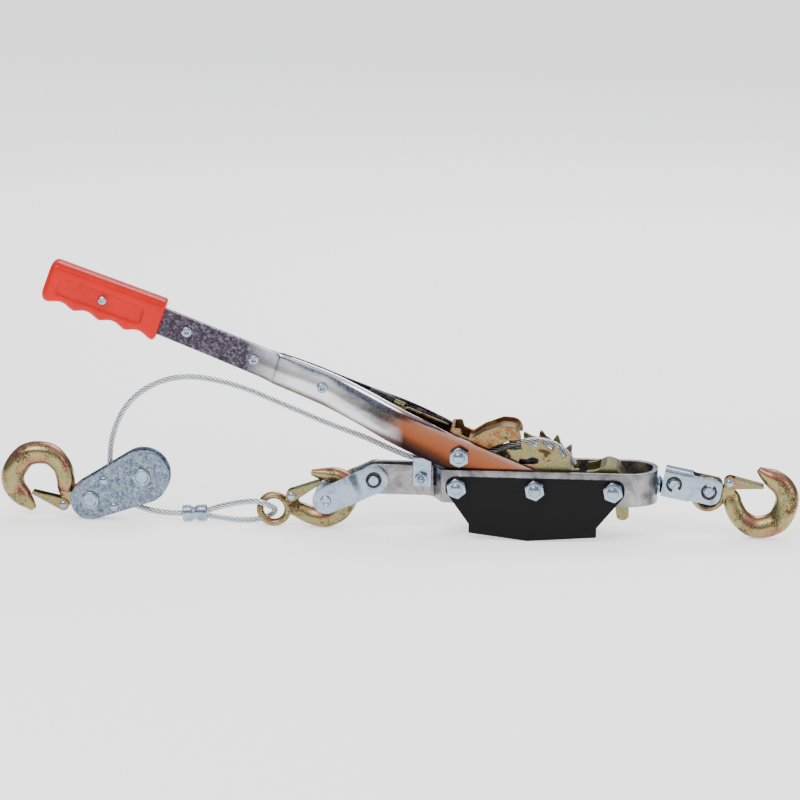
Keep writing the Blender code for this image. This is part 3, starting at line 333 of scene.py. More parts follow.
def chrome_with_painted_reflections():
    """Chrome over a stamped plate: a mottled violet tail, a silver bend and a copper fork. The stripes across
    the bend and the fork are painted reflections laid out by the across attribute; the fork's copper is
    partly a tint of the metal and partly a painted reflection.
    """
    c = bpy.context.scene.winch_colours
    made, tree, shader, where = surface("mottled_chrome", 1.0, 0.16)
    along = add_node(tree, "ShaderNodeAttribute", attribute_name="along").outputs["Fac"]
    over = add_node(tree, "ShaderNodeAttribute", attribute_name="across").outputs["Fac"]
    spots = add_node(tree, "ShaderNodeTexNoise",
                     {"Vector": where, "Scale": per(2.6), "Detail": 6.0, "Roughness": 0.7})
    sway = add_node(tree, "ShaderNodeTexNoise", {"Vector": where, "Scale": per(60), "Detail": 1.0})
    tail = add_node(tree, "ShaderNodeValToRGB", {"Fac": spots})
    set_stops(tail, (0.34, c.chrome_dark), (0.52, linear("#453d47")), (0.74, linear("#807b88")))
    # painted reflections: height places each point across the plate, and the ramps below turn it into light
    # and dark stripes
    height = add_node(tree, "ShaderNodeMath", {0: sway, 1: 0.5, 2: over}, operation="MULTIPLY_ADD")
    fade = add_node(tree, "ShaderNodeMath", {0: spots, 1: 0.12, 2: height}, operation="MULTIPLY_ADD")
    reflection_band = add_node(tree, "ShaderNodeMapRange", {"Value": fade, "From Min": -0.7, "From Max": 1.65})
    # the bend's pale, brown and green stripes are painted reflections, not tints of the chrome
    bend = add_node(tree, "ShaderNodeValToRGB", {"Fac": reflection_band.outputs[0]})
    set_stops(bend, (0.03, linear("#6d5a58")), (0.14, linear("#d5d6da")), (0.34, linear("#d9dade")),
              (0.44, linear("#8f8184")), (0.53, linear("#8a9185")), (0.62, c.chrome_reflection_light),
              (0.9, linear("#d2d6e0")))
    # the fork's dark edge, copper and pale stripes: painted reflections over a copper tint
    fork = add_node(tree, "ShaderNodeValToRGB", {"Fac": reflection_band.outputs[0]})
    set_stops(fork, (0.05, linear("#1f1518")), (0.2, linear("#4a2a1c")), (0.36, c.copper_tint_and_reflection),
              (0.7, linear("#84543d")), (0.92, linear("#92838a")))
    front = add_node(tree, "ShaderNodeMapRange", {"Value": along, "From Min": 0.40, "From Max": 0.50})
    back = add_node(tree, "ShaderNodeMapRange", {"Value": along, "From Min": 0.67, "From Max": 0.73})
    middle_tint = add_node(tree, "ShaderNodeMix",
                           {"Factor": front.outputs[0], 6: tail.outputs[0], 7: bend.outputs[0]},
                           data_type="RGBA")
    tint = add_node(tree, "ShaderNodeMix",
                    {"Factor": back.outputs[0], 6: middle_tint.outputs[2], 7: fork.outputs[0]},
                    data_type="RGBA")
    tree.links.new(tint.outputs[2], shader.inputs["Base Color"])
    rough = add_node(tree, "ShaderNodeMapRange", {"Value": spots, "To Min": 0.34, "To Max": 0.06})
    tree.links.new(rough.outputs[0], shader.inputs["Roughness"])
    swell = add_node(tree, "ShaderNodeTexNoise", {"Vector": where, "Scale": per(18), "Detail": 2.0})
    bump = add_node(tree, "ShaderNodeBump", {"Height": swell, "Strength": 0.6, "Distance": 0.0004})
    tree.links.new(bump.outputs[0], shader.inputs["Normal"])
    return made


def black_enamel():
    """Stoved black enamel on sheet steel: semi-gloss with a very fine orange peel."""
    made, tree, shader, where = surface("black_enamel", 0.0, 0.45, specular_ior_level=0.16)
    c = bpy.context.scene.winch_colours
    clouds = add_node(tree, "ShaderNodeTexNoise", {"Vector": where, "Scale": per(20), "Detail": 3.0})
    paler = tuple(min(1.0, v * 2.2) for v in c.enamel[:3]) + (1.0,)
    ramp = add_node(tree, "ShaderNodeValToRGB", {"Fac": clouds})
    set_stops(ramp, (0.3, c.enamel), (0.8, paler))
    tree.links.new(ramp.outputs[0], shader.inputs["Base Color"])
    peel = add_node(tree, "ShaderNodeTexNoise", {"Vector": where, "Scale": per(1.1), "Detail": 2.0})
    bump = add_node(tree, "ShaderNodeBump", {"Height": peel, "Strength": 0.25, "Distance": 0.00004})
    tree.links.new(bump.outputs[0], shader.inputs["Normal"])
    rough = add_node(tree, "ShaderNodeMapRange", {"Value": clouds, "To Min": 0.40, "To Max": 0.55})
    tree.links.new(rough.outputs[0], shader.inputs["Roughness"])
    return made


def moulded_abs():
    """Injection-moulded ABS: glossy orange-red with soft sink marks and slight flow clouding."""
    made, tree, shader, where = surface("moulded_abs", 0.0, 0.3, specular_ior_level=0.22)
    c = bpy.context.scene.winch_colours
    flow = add_node(tree, "ShaderNodeTexNoise", {"Vector": where, "Scale": per(22), "Detail": 3.0})
    deep = tuple(v * 0.86 for v in c.grip[:3]) + (1.0,)
    ramp = add_node(tree, "ShaderNodeValToRGB", {"Fac": flow})
    set_stops(ramp, (0.3, deep), (0.7, c.grip))
    tree.links.new(ramp.outputs[0], shader.inputs["Base Color"])
    grain = add_node(tree, "ShaderNodeTexNoise", {"Vector": where, "Scale": per(0.8), "Detail": 2.0})
    rough = add_node(tree, "ShaderNodeMapRange", {"Value": flow, "To Min": 0.22, "To Max": 0.36})
    tree.links.new(rough.outputs[0], shader.inputs["Roughness"])
    bump = add_node(tree, "ShaderNodeBump", {"Height": grain, "Strength": 0.2, "Distance": 0.00003})
    tree.links.new(bump.outputs[0], shader.inputs["Normal"])
    return made


def galvanised_wire():
    """Drawn galvanised wires laid in strands; the wires lie nearly along the rope. The colour is painted
    lighter on the wire ridges and the strands' crowns and darker in the grooves between strands: painted
    highlights and painted shade, with random soot over them.
    """
    made, tree, shader, where = surface("galvanised_wire", 1.0, 0.3)
    around = add_node(tree, "ShaderNodeAttribute", attribute_name="around").outputs["Fac"]
    along = add_node(tree, "ShaderNodeAttribute", attribute_name="along").outputs["Fac"]
    # 42 wires round the rope; each slides once round in 9 mm against the strands' own twist
    turns = add_node(tree, "ShaderNodeMath", {0: along, 1: per(9.0)}, operation="MULTIPLY")
    wires = add_node(tree, "ShaderNodeMath", {0: around, 1: 42.0, 2: turns}, operation="MULTIPLY_ADD")
    phase = add_node(tree, "ShaderNodeMath", {0: wires, 1: 2 * math.pi}, operation="MULTIPLY")
    ridge = add_node(tree, "ShaderNodeMath", {0: phase}, operation="COSINE")
    lift = add_node(tree, "ShaderNodeMapRange", {"Value": ridge, "From Min": -1.0})
    soot = add_node(tree, "ShaderNodeTexNoise", {"Vector": where, "Scale": per(5), "Detail": 3.0})
    # painted shade: the colour is lit on the strands' crowns and darkened in the grooves between them
    lobes = add_node(tree, "ShaderNodeMath", {0: around, 1: 6 * math.pi}, operation="MULTIPLY")
    crown = add_node(tree, "ShaderNodeMath", {0: lobes}, operation="SINE")
    painted_crown_light = add_node(tree, "ShaderNodeMath", {0: crown}, operation="ABSOLUTE")
    # painted highlight on each wire's ridge (lift) and painted shade between strands; the soot is real dirt
    # on top
    mixed = add_node(tree, "ShaderNodeMath", {0: lift, 1: 0.15, 2: painted_crown_light}, operation="MULTIPLY_ADD")
    soot_and_painted_strand_shade = add_node(tree, "ShaderNodeMath", {0: soot, 1: 0.3, 2: mixed}, operation="MULTIPLY_ADD")
    ramp = add_node(tree, "ShaderNodeValToRGB", {"Fac": soot_and_painted_strand_shade})
    set_stops(ramp, (0.30, linear("#1c1e22")), (0.85, linear("#b4b8be")), (1.0, linear("#e3e6ea")))
    tree.links.new(ramp.outputs[0], shader.inputs["Base Color"])
    bump = add_node(tree, "ShaderNodeBump", {"Height": lift, "Strength": 0.7, "Distance": 0.00015})
    tree.links.new(bump.outputs[0], shader.inputs["Normal"])
    return made


def black_oxide():
    """Oil-blacked spring steel: dark, with a low sheen and paler rubbed spots."""
    made, tree, shader, where = surface("black_oxide", 0.7, 0.4)
    rub = add_node(tree, "ShaderNodeTexNoise", {"Vector": where, "Scale": per(3), "Detail": 4.0})
    ramp = add_node(tree, "ShaderNodeValToRGB", {"Fac": rub})
    set_stops(ramp, (0.4, linear("#17171a")), (0.8, linear("#4b4b50")))
    tree.links.new(ramp.outputs[0], shader.inputs["Base Color"])
    rough = add_node(tree, "ShaderNodeMapRange", {"Value": rub, "To Min": 0.3, "To Max": 0.55})
    tree.links.new(rough.outputs[0], shader.inputs["Roughness"])
    return made


# finish: how it is made, and the record's slot it belongs to
FINISHES = {
    "steel": (rolled_steel, "satin_steel"),
    "spangle": (spangled_zinc, "zinc"),
    "zinc": (smooth_zinc, "zinc"),
    "chromate": (chromate_plate, "yellow_zinc"),
    "amber": (amber_chromate, "yellow_zinc"),
    "forged": (forged_chromate, "yellow_zinc"),
    "chrome": (chrome_with_painted_reflections, "chrome"),
    "enamel": (black_enamel, "black_paint"),
    "abs": (moulded_abs, "red_plastic"),
    "rope": (galvanised_wire, "wire_rope"),
    "oxide": (black_oxide, "black_spring"),
}
MADE = {}


def finish_of(name):
    """The material of a finish, made once."""
    if name not in MADE:
        MADE[name] = FINISHES[name][0]()
    return MADE[name]


# ---- outlines ---------------------------------------------------------------------------------

def fillet(corners, step=math.radians(6), closed=True):
    """Corners (x, z, radius) as a polyline whose corners are arcs."""
    out = []
    last = len(corners) - 1
    for i, (x, z, r) in enumerate(corners):
        here = Vector((x, z))
        if r <= 0 or (not closed and i in (0, last)):
            out.append(here)
            continue
        back = (Vector(corners[i - 1][:2]) - here).normalized()
        onward = (Vector(corners[(i + 1) % len(corners)][:2]) - here).normalized()
        half = back.angle(onward) / 2
        centre = here + (back + onward).normalized() * (r / math.sin(half))
        start = here + back * (r / math.tan(half)) - centre
        end = here + onward * (r / math.tan(half)) - centre
        a0 = math.atan2(start.y, start.x)
        turn = (math.atan2(end.y, end.x) - a0 + math.pi) % (2 * math.pi) - math.pi
        steps = max(2, math.ceil(abs(turn) / step))
        for k in range(steps + 1):
            a = a0 + turn * k / steps
            out.append(centre + r * Vector((math.cos(a), math.sin(a))))
    return out


def circle(x, z, r, sides=64):
    return [Vector((x + r * math.cos(2 * math.pi * k / sides),
                    z + r * math.sin(2 * math.pi * k / sides))) for k in range(sides)]


def belt(a, ra, b, rb, step=math.radians(5)):
    """The outline of a belt stretched round two circles."""
    a, b = Vector(a), Vector(b)
    along = b - a
    heading = math.atan2(along.y, along.x)
    lean = math.acos((ra - rb) / along.length)
    out = []
    for centre, r, start, end in ((a, ra, heading + lean, heading + 2 * math.pi - lean),
                                  (b, rb, heading - lean, heading + lean)):
        steps = math.ceil((end - start) / step)
        for k in range(steps + 1):
            t = start + (end - start) * k / steps
            out.append(centre + r * Vector((math.cos(t), math.sin(t))))
    return out


def sloped(points, pivot, angle):
    """Outline points given along a sloped axis through pivot."""
    c, s = math.cos(angle), math.sin(angle)
    return [Vector((pivot[0] + p[0] * c - p[1] * s, pivot[1] + p[0] * s + p[1] * c)) for p in points]


def smooth(points, per_span):
    """A Catmull-Rom curve through points of any dimension."""
    pts = [tuple(p) for p in points]
    pts = [tuple(2 * a - b for a, b in zip(pts[0], pts[1])), *pts,
           tuple(2 * a - b for a, b in zip(pts[-1], pts[-2]))]
    out = []
    for p0, p1, p2, p3 in zip(pts, pts[1:], pts[2:], pts[3:]):
        for k in range(per_span):
            t = k / per_span
            out.append(tuple(
                b + 0.5 * t * (c - a + t * (2 * a - 5 * b + 4 * c - d + t * (3 * (b - c) + d - a)))
                for a, b, c, d in zip(p0, p1, p2, p3)))
    out.append(pts[-2])
    return out


def ease(t):
    t = min(1.0, max(0.0, t))
    return t * t * (3 - 2 * t)


def soft_box(half_u, half_v, r, steps=4):
    """A rounded rectangle as (u, v) points."""
    r = min(r, half_u * 0.98, half_v * 0.98)
    out = []
    for cu, cv, start in ((1, 1, 0), (-1, 1, 90), (-1, -1, 180), (1, -1, 270)):
        for k in range(steps + 1):
            a = math.radians(start + 90 * k / steps)
            out.append((cu * (half_u - r) + r * math.cos(a), cv * (half_v - r) + r * math.sin(a)))
    return out


# ---- solids in bench millimetres --------------------------------------------------------------

def linked(name, mesh):
    obj = bpy.data.objects.new(name, mesh)
    bpy.context.scene.collection.objects.link(obj)
    return obj


def from_bmesh(name, bm):
    bmesh.ops.remove_doubles(bm, verts=bm.verts, dist=MERGE)
    bmesh.ops.recalc_face_normals(bm, faces=bm.faces)
    mesh = bpy.data.meshes.new(name)
    bm.to_mesh(mesh)
    bm.free()
    return linked(name, mesh)


def settled_mesh(obj):
    """The object again, with its modifiers or its curve turned into a plain mesh."""
    bpy.context.view_layer.update()
    graph = bpy.context.evaluated_depsgraph_get()
    mesh = bpy.data.meshes.new_from_object(obj.evaluated_get(graph))
    mesh.transform(obj.matrix_world)
    name = obj.name
    bpy.data.objects.remove(obj, do_unlink=True)
    made = linked(name, mesh)
    made.data.name = name
    return made


def welded(obj):
    bm = bmesh.new()
    bm.from_mesh(obj.data)
    bmesh.ops.remove_doubles(bm, verts=bm.verts, dist=MERGE)
    bmesh.ops.recalc_face_normals(bm, faces=bm.faces)
    bm.to_mesh(obj.data)
    bm.free()
    return obj


def plate(name, loops, y0, y1, edge):
    """A flat plate in the x-z plane with broken edges; the first loop is its outline."""
    edge *= MM
    curve = bpy.data.curves.new(name, "CURVE")
    curve.dimensions = "2D"
    curve.fill_mode = "BOTH"
    curve.extrude = (y1 - y0) / 2 * MM - edge
    curve.bevel_depth = edge
    curve.bevel_resolution = 0
    curve.offset = -edge
    for loop in loops:
        spline = curve.splines.new("POLY")
        spline.points.add(len(loop) - 1)
        for point, p in zip(spline.points, loop):
            point.co = (p[0] * MM, p[1] * MM, 0, 1)
        spline.use_cyclic_u = True
    obj = linked(name, curve)
    obj.rotation_euler = (math.pi / 2, 0, 0)
    obj.location = (0, (y0 + y1) / 2 * MM, 0)
    return welded(settled_mesh(obj))


def loft(name, rings, loop=False):
    """Skin closed rings of points, with a face over each end."""
    bm = bmesh.new()
    made = [[bm.verts.new(Vector(p) * MM) for p in ring] for ring in rings]
    pairs = list(zip(made, made[1:])) + ([(made[-1], made[0])] if loop else [])
    for a, b in pairs:
        for i in range(len(a)):
            j = (i + 1) % len(a)
            bm.faces.new((a[i], a[j], b[j], b[i]))
    if not loop:
        bm.faces.new(made[0][::-1])
        bm.faces.new(made[-1])
    return from_bmesh(name, bm)


def turned(name, profile, place, sides=64, loop=False):
    """Spin a (radius, height) profile about the place's z axis."""
    rings = []
    for r, h in profile:
        rings.append([(r * math.cos(2 * math.pi * k / sides), r * math.sin(2 * math.pi * k / sides), h)
                      for k in range(sides)])
    obj = loft(name, rings, loop)
    obj.data.transform(place)
    return obj


def across(x, z, y=0.0):
    """A place whose z axis runs along the bench's +y."""
    return Matrix.Translation(Vector((x, y, z)) * MM) @ Matrix.Rotation(-math.pi / 2, 4, "X")


def rounded(profile, step=math.radians(15)):
    """A turned profile (radius, height, fillet) with its corners rounded."""
    return [tuple(p) for p in fillet(profile, step, closed=False)]


def swept(name, path, section):
    """A bar along path; section(i) gives its (sideways, upward) points at each station."""
    pts = [Vector(p) for p in path]
    rings = []
    up = Vector((0, 1, 0))
    for i, p in enumerate(pts):
        along = (pts[min(i + 1, len(pts) - 1)] - pts[max(i - 1, 0)]).normalized()
        up = (up - along * up.dot(along)).normalized()
        side = along.cross(up)
        rings.append([p + side * u + up * v for u, v in section(i)])
    return loft(name, rings)


def tube(name, path, r, sides=20):
    radius = r if callable(r) else (lambda i: r)
    return swept(name, path, lambda i: [(p.x, p.y) for p in circle(0, 0, radius(i), sides)])


def box(name, x0, x1, y0, y1, z0, z1):
    bm = bmesh.new()
    size = Matrix.Diagonal(((x1 - x0) * MM, (y1 - y0) * MM, (z1 - z0) * MM, 1))
    place = Matrix.Translation(Vector(((x0 + x1) / 2, (y0 + y1) / 2, (z0 + z1) / 2)) * MM)
    bmesh.ops.create_cube(bm, size=1, matrix=place @ size)
    return from_bmesh(name, bm)


def rod(name, x, z, r, y0, y1, sides=48):
    return turned(name, [(0, y0), (r, y0), (r, y1), (0, y1)], across(x, z), sides)


def bored(obj, r, *places):
    """Round holes right across the winch, for pins of radius r to turn in."""
    return cut(obj, *(rod("bore", x, z, r + GAP, -50, 50) for x, z in places))


def cut(obj, *others):
    """Cut each helper away in turn; the helpers go away."""
    for other in others:
        mod = obj.modifiers.new("cut", "BOOLEAN")
        mod.operation = "DIFFERENCE"
        mod.solver = "EXACT"
        mod.object = other
    name = obj.name
    made = settled_mesh(obj)
    for other in others:
        bpy.data.objects.remove(other, do_unlink=True)
    made.name = name
    return made


def joined(name, *objs):
    """Several solids as one piece."""
    bm = bmesh.new()
    for obj in objs:
        bm.from_mesh(obj.data)
        bpy.data.objects.remove(obj, do_unlink=True)
    mesh = bpy.data.meshes.new(name)
    bm.to_mesh(mesh)
    bm.free()
    return linked(name, mesh)


def broken_edges(obj, width=0.5, segments=2, angle=40):
    """Bevel the sharp edges and keep the flat faces flat."""
    bevel = obj.modifiers.new("edge", "BEVEL")
    bevel.width = width * MM
    bevel.segments = segments
    bevel.limit_method = "ANGLE"
    bevel.angle_limit = math.radians(angle)
    bevel.harden_normals = True
    obj.data.shade_smooth()
    return settled_mesh(obj)


def settle(obj, finish, node=None, body=None, sharp=32, stands_for=()):
    """Carry a piece to its place, finish it and hang it on the body of the node it stands for."""
    obj.data.transform(Matrix.Translation(AXLE))
    if sharp is not None:
        obj.data.shade_smooth()
        obj.data.set_sharp_from_angle(angle=math.radians(sharp))
    obj.data.materials.clear()
    obj.data.materials.append(finish_of(finish))
    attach(obj, body or BODY_OF[node])
    nodes = ([node] if node else []) + list(stands_for)
    if nodes:
        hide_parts(*nodes)
    return obj


# ---- geometry trees ---------------------------------------------------------------------------

def geometry_tree(name, inputs):
    """A new geometry tree with named inputs: (name, socket type, default)."""
    tree = bpy.data.node_groups.new(name, "GeometryNodeTree")
    tree.interface.new_socket("Geometry", in_out="OUTPUT", socket_type="NodeSocketGeometry")
    tree.interface.new_socket("Geometry", in_out="INPUT", socket_type="NodeSocketGeometry")
    for label, kind, default in inputs:
        socket = tree.interface.new_socket(label, in_out="INPUT", socket_type=kind)
        if default is not None:
            socket.default_value = default
    tree.interface.new_socket("Material", in_out="INPUT", socket_type="NodeSocketMaterial")
    return tree, add_node(tree, "NodeGroupInput").outputs


def end_tree(tree, given, geometry):
    real = add_node(tree, "GeometryNodeRealizeInstances", {"Geometry": geometry})
    coated = add_node(tree, "GeometryNodeSetMaterial", {"Geometry": real, "Material": given["Material"]})
    add_node(tree, "NodeGroupOutput", {"Geometry": coated})
    return tree


def grown(obj, tree, finish, **values):
    """Run a geometry tree on an object and keep the result as a plain mesh."""
    mod = obj.modifiers.new(tree.name, "NODES")
    mod.node_group = tree
    values["Material"] = finish_of(finish)
    for item in tree.interface.items_tree:
        key = item.name.replace(" ", "_")
        if item.in_out == "INPUT" and key in values:
            mod[item.identifier] = values[key]
    return settled_mesh(obj)


def rope_tree():
    """Wire rope along a curve: a lobed section that turns once in each lay."""
    tree, given = geometry_tree("wire_rope", (
        ("Diameter", "NodeSocketFloat", 0.0048), ("Lay", "NodeSocketFloat", 0.03),
        ("Strands", "NodeSocketInt", 6), ("Step", "NodeSocketFloat", 0.001)))
    line = add_node(tree, "GeometryNodeResampleCurve",
                    {"Curve": given["Geometry"], "Length": given["Step"]}, mode="LENGTH")
    spline = add_node(tree, "GeometryNodeSplineParameter")
    laps = add_node(tree, "ShaderNodeMath", {0: spline.outputs["Length"], 1: given["Lay"]},
                    operation="DIVIDE")
    tilt = add_node(tree, "ShaderNodeMath", {0: laps, 1: 2 * math.pi}, operation="MULTIPLY")
    twisted = add_node(tree, "GeometryNodeSetCurveTilt", {"Curve": line, "Tilt": tilt})
    marked = add_node(tree, "GeometryNodeStoreNamedAttribute",
                      {"Geometry": twisted, "Name": "along", "Value": spline.outputs["Length"]},
                      data_type="FLOAT", domain="POINT")
    sides = add_node(tree, "ShaderNodeMath", {0: given["Strands"], 1: 10.0}, operation="MULTIPLY")
    ring = add_node(tree, "GeometryNodeCurvePrimitiveCircle", {"Resolution": sides, "Radius": 1.0})
    share = add_node(tree, "GeometryNodeSplineParameter").outputs["Factor"]
    noted = add_node(tree, "GeometryNodeStoreNamedAttribute",
                     {"Geometry": ring, "Name": "around", "Value": share},
                     data_type="FLOAT", domain="POINT")
    half_lobe = add_node(tree, "ShaderNodeMath", {0: given["Strands"], 1: math.pi}, operation="MULTIPLY")
    angle = add_node(tree, "ShaderNodeMath", {0: share, 1: half_lobe}, operation="MULTIPLY")
    wave = add_node(tree, "ShaderNodeMath", {0: angle}, operation="SINE")
    lobe = add_node(tree, "ShaderNodeMath", {0: wave}, operation="ABSOLUTE")
    full = add_node(tree, "ShaderNodeMath", {0: lobe, 1: 0.6}, operation="POWER")
    out = add_node(tree, "ShaderNodeMath", {0: full, 1: 0.36, 2: 0.72}, operation="MULTIPLY_ADD")
    radius = add_node(tree, "ShaderNodeMath", {0: given["Diameter"], 1: 0.5}, operation="MULTIPLY")
    size = add_node(tree, "ShaderNodeMath", {0: out, 1: radius}, operation="MULTIPLY")
    spot = add_node(tree, "GeometryNodeInputPosition")
    place = add_node(tree, "ShaderNodeVectorMath", {0: spot, "Scale": size}, operation="SCALE")
    section = add_node(tree, "GeometryNodeSetPosition", {"Geometry": noted, "Position": place})
    skin = add_node(tree, "GeometryNodeCurveToMesh",
                    {"Curve": marked, "Profile Curve": section, "Fill Caps": True})
    return end_tree(tree, given, skin)


def helix_tree():
    """A coil of round or three-sided wire on every point: springs and screw threads."""
    tree, given = geometry_tree("helix", (
        ("Radius", "NodeSocketFloat", 0.005), ("Wire", "NodeSocketFloat", 0.0005),
        ("Pitch", "NodeSocketFloat", 0.0015), ("Turns", "NodeSocketFloat", 4.0),
        ("Sides", "NodeSocketInt", 3), ("Rotation", "NodeSocketRotation", None)))
    rise = add_node(tree, "ShaderNodeMath", {0: given["Pitch"], 1: given["Turns"]}, operation="MULTIPLY")
    coil = add_node(tree, "GeometryNodeCurveSpiral",
                    {"Resolution": 40, "Rotations": given["Turns"], "Start Radius": given["Radius"],
                     "End Radius": given["Radius"], "Height": rise})
    wire = add_node(tree, "GeometryNodeCurvePrimitiveCircle",
                    {"Resolution": given["Sides"], "Radius": given["Wire"]})
    solid = add_node(tree, "GeometryNodeCurveToMesh",
                     {"Curve": coil, "Profile Curve": wire, "Fill Caps": True})
    spread = add_node(tree, "GeometryNodeInstanceOnPoints",
                      {"Points": given["Geometry"], "Instance": solid, "Rotation": given["Rotation"]})
    return end_tree(tree, given, spread)


def wheel_tree():
    """A saw-toothed wheel with a bore, filled and thickened."""
    tree, given = geometry_tree("toothed_wheel", (
        ("Teeth", "NodeSocketInt", 17), ("Tip", "NodeSocketFloat", 0.0425),
        ("Root", "NodeSocketFloat", 0.0355), ("Bore", "NodeSocketFloat", 0.0084),
        ("Thickness", "NodeSocketFloat", 0.0042)))
    sides = add_node(tree, "ShaderNodeMath", {0: given["Teeth"], 1: 20.0}, operation="MULTIPLY")
    rim = add_node(tree, "GeometryNodeCurvePrimitiveCircle", {"Resolution": sides, "Radius": 1.0})
    share = add_node(tree, "GeometryNodeSplineParameter").outputs["Factor"]
    count = add_node(tree, "ShaderNodeMath", {0: share, 1: given["Teeth"]}, operation="MULTIPLY")
    part = add_node(tree, "ShaderNodeMath", {0: count}, operation="FRACT")
    saw = add_node(tree, "ShaderNodeFloatCurve", {"Value": part})
    points = saw.mapping.curves[0].points
    for place, height in ((0.5, 0.34), (0.84, 1.0), (0.93, 0.95)):
        points.new(place, height)
    points[-1].location = (1.0, 0.0)
    points[0].location = (0.0, 0.0)
    for point in points:
        point.handle_type = "VECTOR"
    saw.mapping.update()
    size = add_node(tree, "ShaderNodeMapRange",
                    {"Value": saw, "To Min": given["Root"], "To Max": given["Tip"]})
    spot = add_node(tree, "GeometryNodeInputPosition")
    place = add_node(tree, "ShaderNodeVectorMath", {0: spot, "Scale": size.outputs[0]}, operation="SCALE")
    toothed = add_node(tree, "GeometryNodeSetPosition", {"Geometry": rim, "Position": place})
    bore = add_node(tree, "GeometryNodeCurvePrimitiveCircle", {"Resolution": 48, "Radius": given["Bore"]})
    both = add_node(tree, "GeometryNodeJoinGeometry", {"Geometry": toothed})
    tree.links.new(bore.outputs[0], both.inputs["Geometry"])
    filled = add_node(tree, "GeometryNodeFillCurve", {"Curve": both}, mode="NGONS")
    raised = add_node(tree, "GeometryNodeExtrudeMesh",
                      {"Mesh": filled, "Offset Scale": given["Thickness"], "Individual": False})
    back = add_node(tree, "GeometryNodeFlipFaces", {"Mesh": filled})
    whole = add_node(tree, "GeometryNodeJoinGeometry", {"Geometry": raised.outputs["Mesh"]})
    tree.links.new(back.outputs[0], whole.inputs["Geometry"])
    shut = add_node(tree, "GeometryNodeMergeByDistance", {"Geometry": whole, "Distance": MERGE})
    return end_tree(tree, given, shut)


def head_tree():
    """A domed rivet head on every point."""
    tree, given = geometry_tree("rivet_heads", (
        ("Radius", "NodeSocketFloat", 0.0038), ("Height", "NodeSocketFloat", 0.0018),
        ("Rotation", "NodeSocketRotation", None)))
    ball = add_node(tree, "GeometryNodeMeshUVSphere", {"Segments": 32, "Rings": 16, "Radius": 1.0})
    size = add_node(tree, "ShaderNodeCombineXYZ",
                    {"X": given["Radius"], "Y": given["Radius"], "Z": given["Height"]})
    heads = add_node(tree, "GeometryNodeInstanceOnPoints",
                     {"Points": given["Geometry"], "Instance": ball.outputs["Mesh"],
                      "Rotation": given["Rotation"], "Scale": size})
    return end_tree(tree, given, heads)


TREES = {}


def tree_of(maker):
    """A geometry tree, made once."""
    if maker not in TREES:
        TREES[maker] = maker()
    return TREES[maker]


def points_object(name, places):
    mesh = bpy.data.meshes.new(name)
    mesh.from_pydata([tuple(Vector(p) * MM) for p in places], [], [])
    return linked(name, mesh)


def line_object(name, path):
    curve = bpy.data.curves.new(name, "CURVE")
    curve.dimensions = "3D"
    spline = curve.splines.new("POLY")
    spline.points.add(len(path) - 1)
    for point, p in zip(spline.points, path):
        point.co = (*(Vector(p) * MM), 1)
    return linked(name, curve)


TO_NEAR = (math.pi / 2, 0, 0)          # turns +z to -y, the side the nuts are on


# ---- fasteners --------------------------------------------------------------------------------

def hexagonal(name, x, z, flats, y0, y1, turn, bore=0.0, chamfered=(True, True)):
    """A nut or a bolt head: a hexagon whose corners are cut by a cone."""
    sides = 72
    corner = flats / math.sqrt(3)
    face_r = flats / 2 * 0.94

    def radius(k):
        a = (2 * math.pi * k / sides + turn) % (math.pi / 3) - math.pi / 6
        return corner * math.cos(math.pi / 6) / math.cos(a)

    def ring(r_of, h_of):
        return [(r_of(k) * math.cos(2 * math.pi * k / sides), r_of(k) * math.sin(2 * math.pi * k / sides),
                 h_of(k)) for k in range(sides)]

    def slope(k):
        return (radius(k) - face_r) * math.tan(math.radians(28))

    low = (lambda k: y0 + slope(k)) if chamfered[0] else (lambda k: y0)
    high = (lambda k: y1 - slope(k)) if chamfered[1] else (lambda k: y1)
    rings = []
    if chamfered[0]:
        rings.append(ring(lambda k: face_r, lambda k: y0))
    rings += [ring(radius, low), ring(radius, high)]
    if chamfered[1]:
        rings.append(ring(lambda k: face_r, lambda k: y1))
    if bore:
        edge = 0.5
        rings += [ring(lambda k: bore + edge, lambda k: y1), ring(lambda k: bore, lambda k: y1 - edge),
                  ring(lambda k: bore, lambda k: y0 + edge), ring(lambda k: bore + edge, lambda k: y0)]
    else:
        rings = [ring(lambda k: 0.0, lambda k: y0), *rings, ring(lambda k: 0.0, lambda k: y1)]
    obj = loft(name, rings, loop=bool(bore))
    obj.data.transform(across(x, z))
    return obj


def threaded_end(name, x, z, r, y0, y1):
    """A bolt's shank from its domed near end at y0 back to y1, with its thread."""
    dome = [(0, y0), (r * 0.45, y0 + 0.15), (r * 0.72, y0 + 0.6), (r - 0.35, y0 + 1.1), (r - 0.35, y1),
            (0, y1)]
    shank = turned(name, dome, across(x, z), 48)
    pitch = bpy.context.scene.winch_sizes.thread
    start = points_object(name + "_thread", [(x, y0 + 7.0, z)])
    thread = grown(start, tree_of(helix_tree), "zinc", Radius=(r - 0.45) * MM, Wire=0.45 * MM,
                   Pitch=pitch, Turns=3.8, Sides=3, Rotation=TO_NEAR)
    return joined(name, shank, thread)


def bolted(label, x, z, r, flats, head_flats, turn=0.35, head_turn=0.2):
    """A bolt and its nut where their nodes stand."""
    bolt_node, nut_node = f"{label}_bolt", f"{label}_nut"
    near, far = reach(bolt_node)
    nut0, nut1 = reach(nut_node)
    head_face = far - HEAD_HEIGHTS[label]
    shank = threaded_end(f"{label}_bolt_shank", x, z, r, near, head_face + 1)
    head = hexagonal(f"{label}_bolt_head", x, z, head_flats, head_face, far, -head_turn,
                     chamfered=(False, True))
    settle(joined(f"{label}_bolt_finished", shank, head), "zinc", bolt_node)
    nut = hexagonal(f"{label}_nut_finished", x, z, flats, nut0, nut1, -turn, bore=r - 0.1)
    settle(nut, "zinc", nut_node)


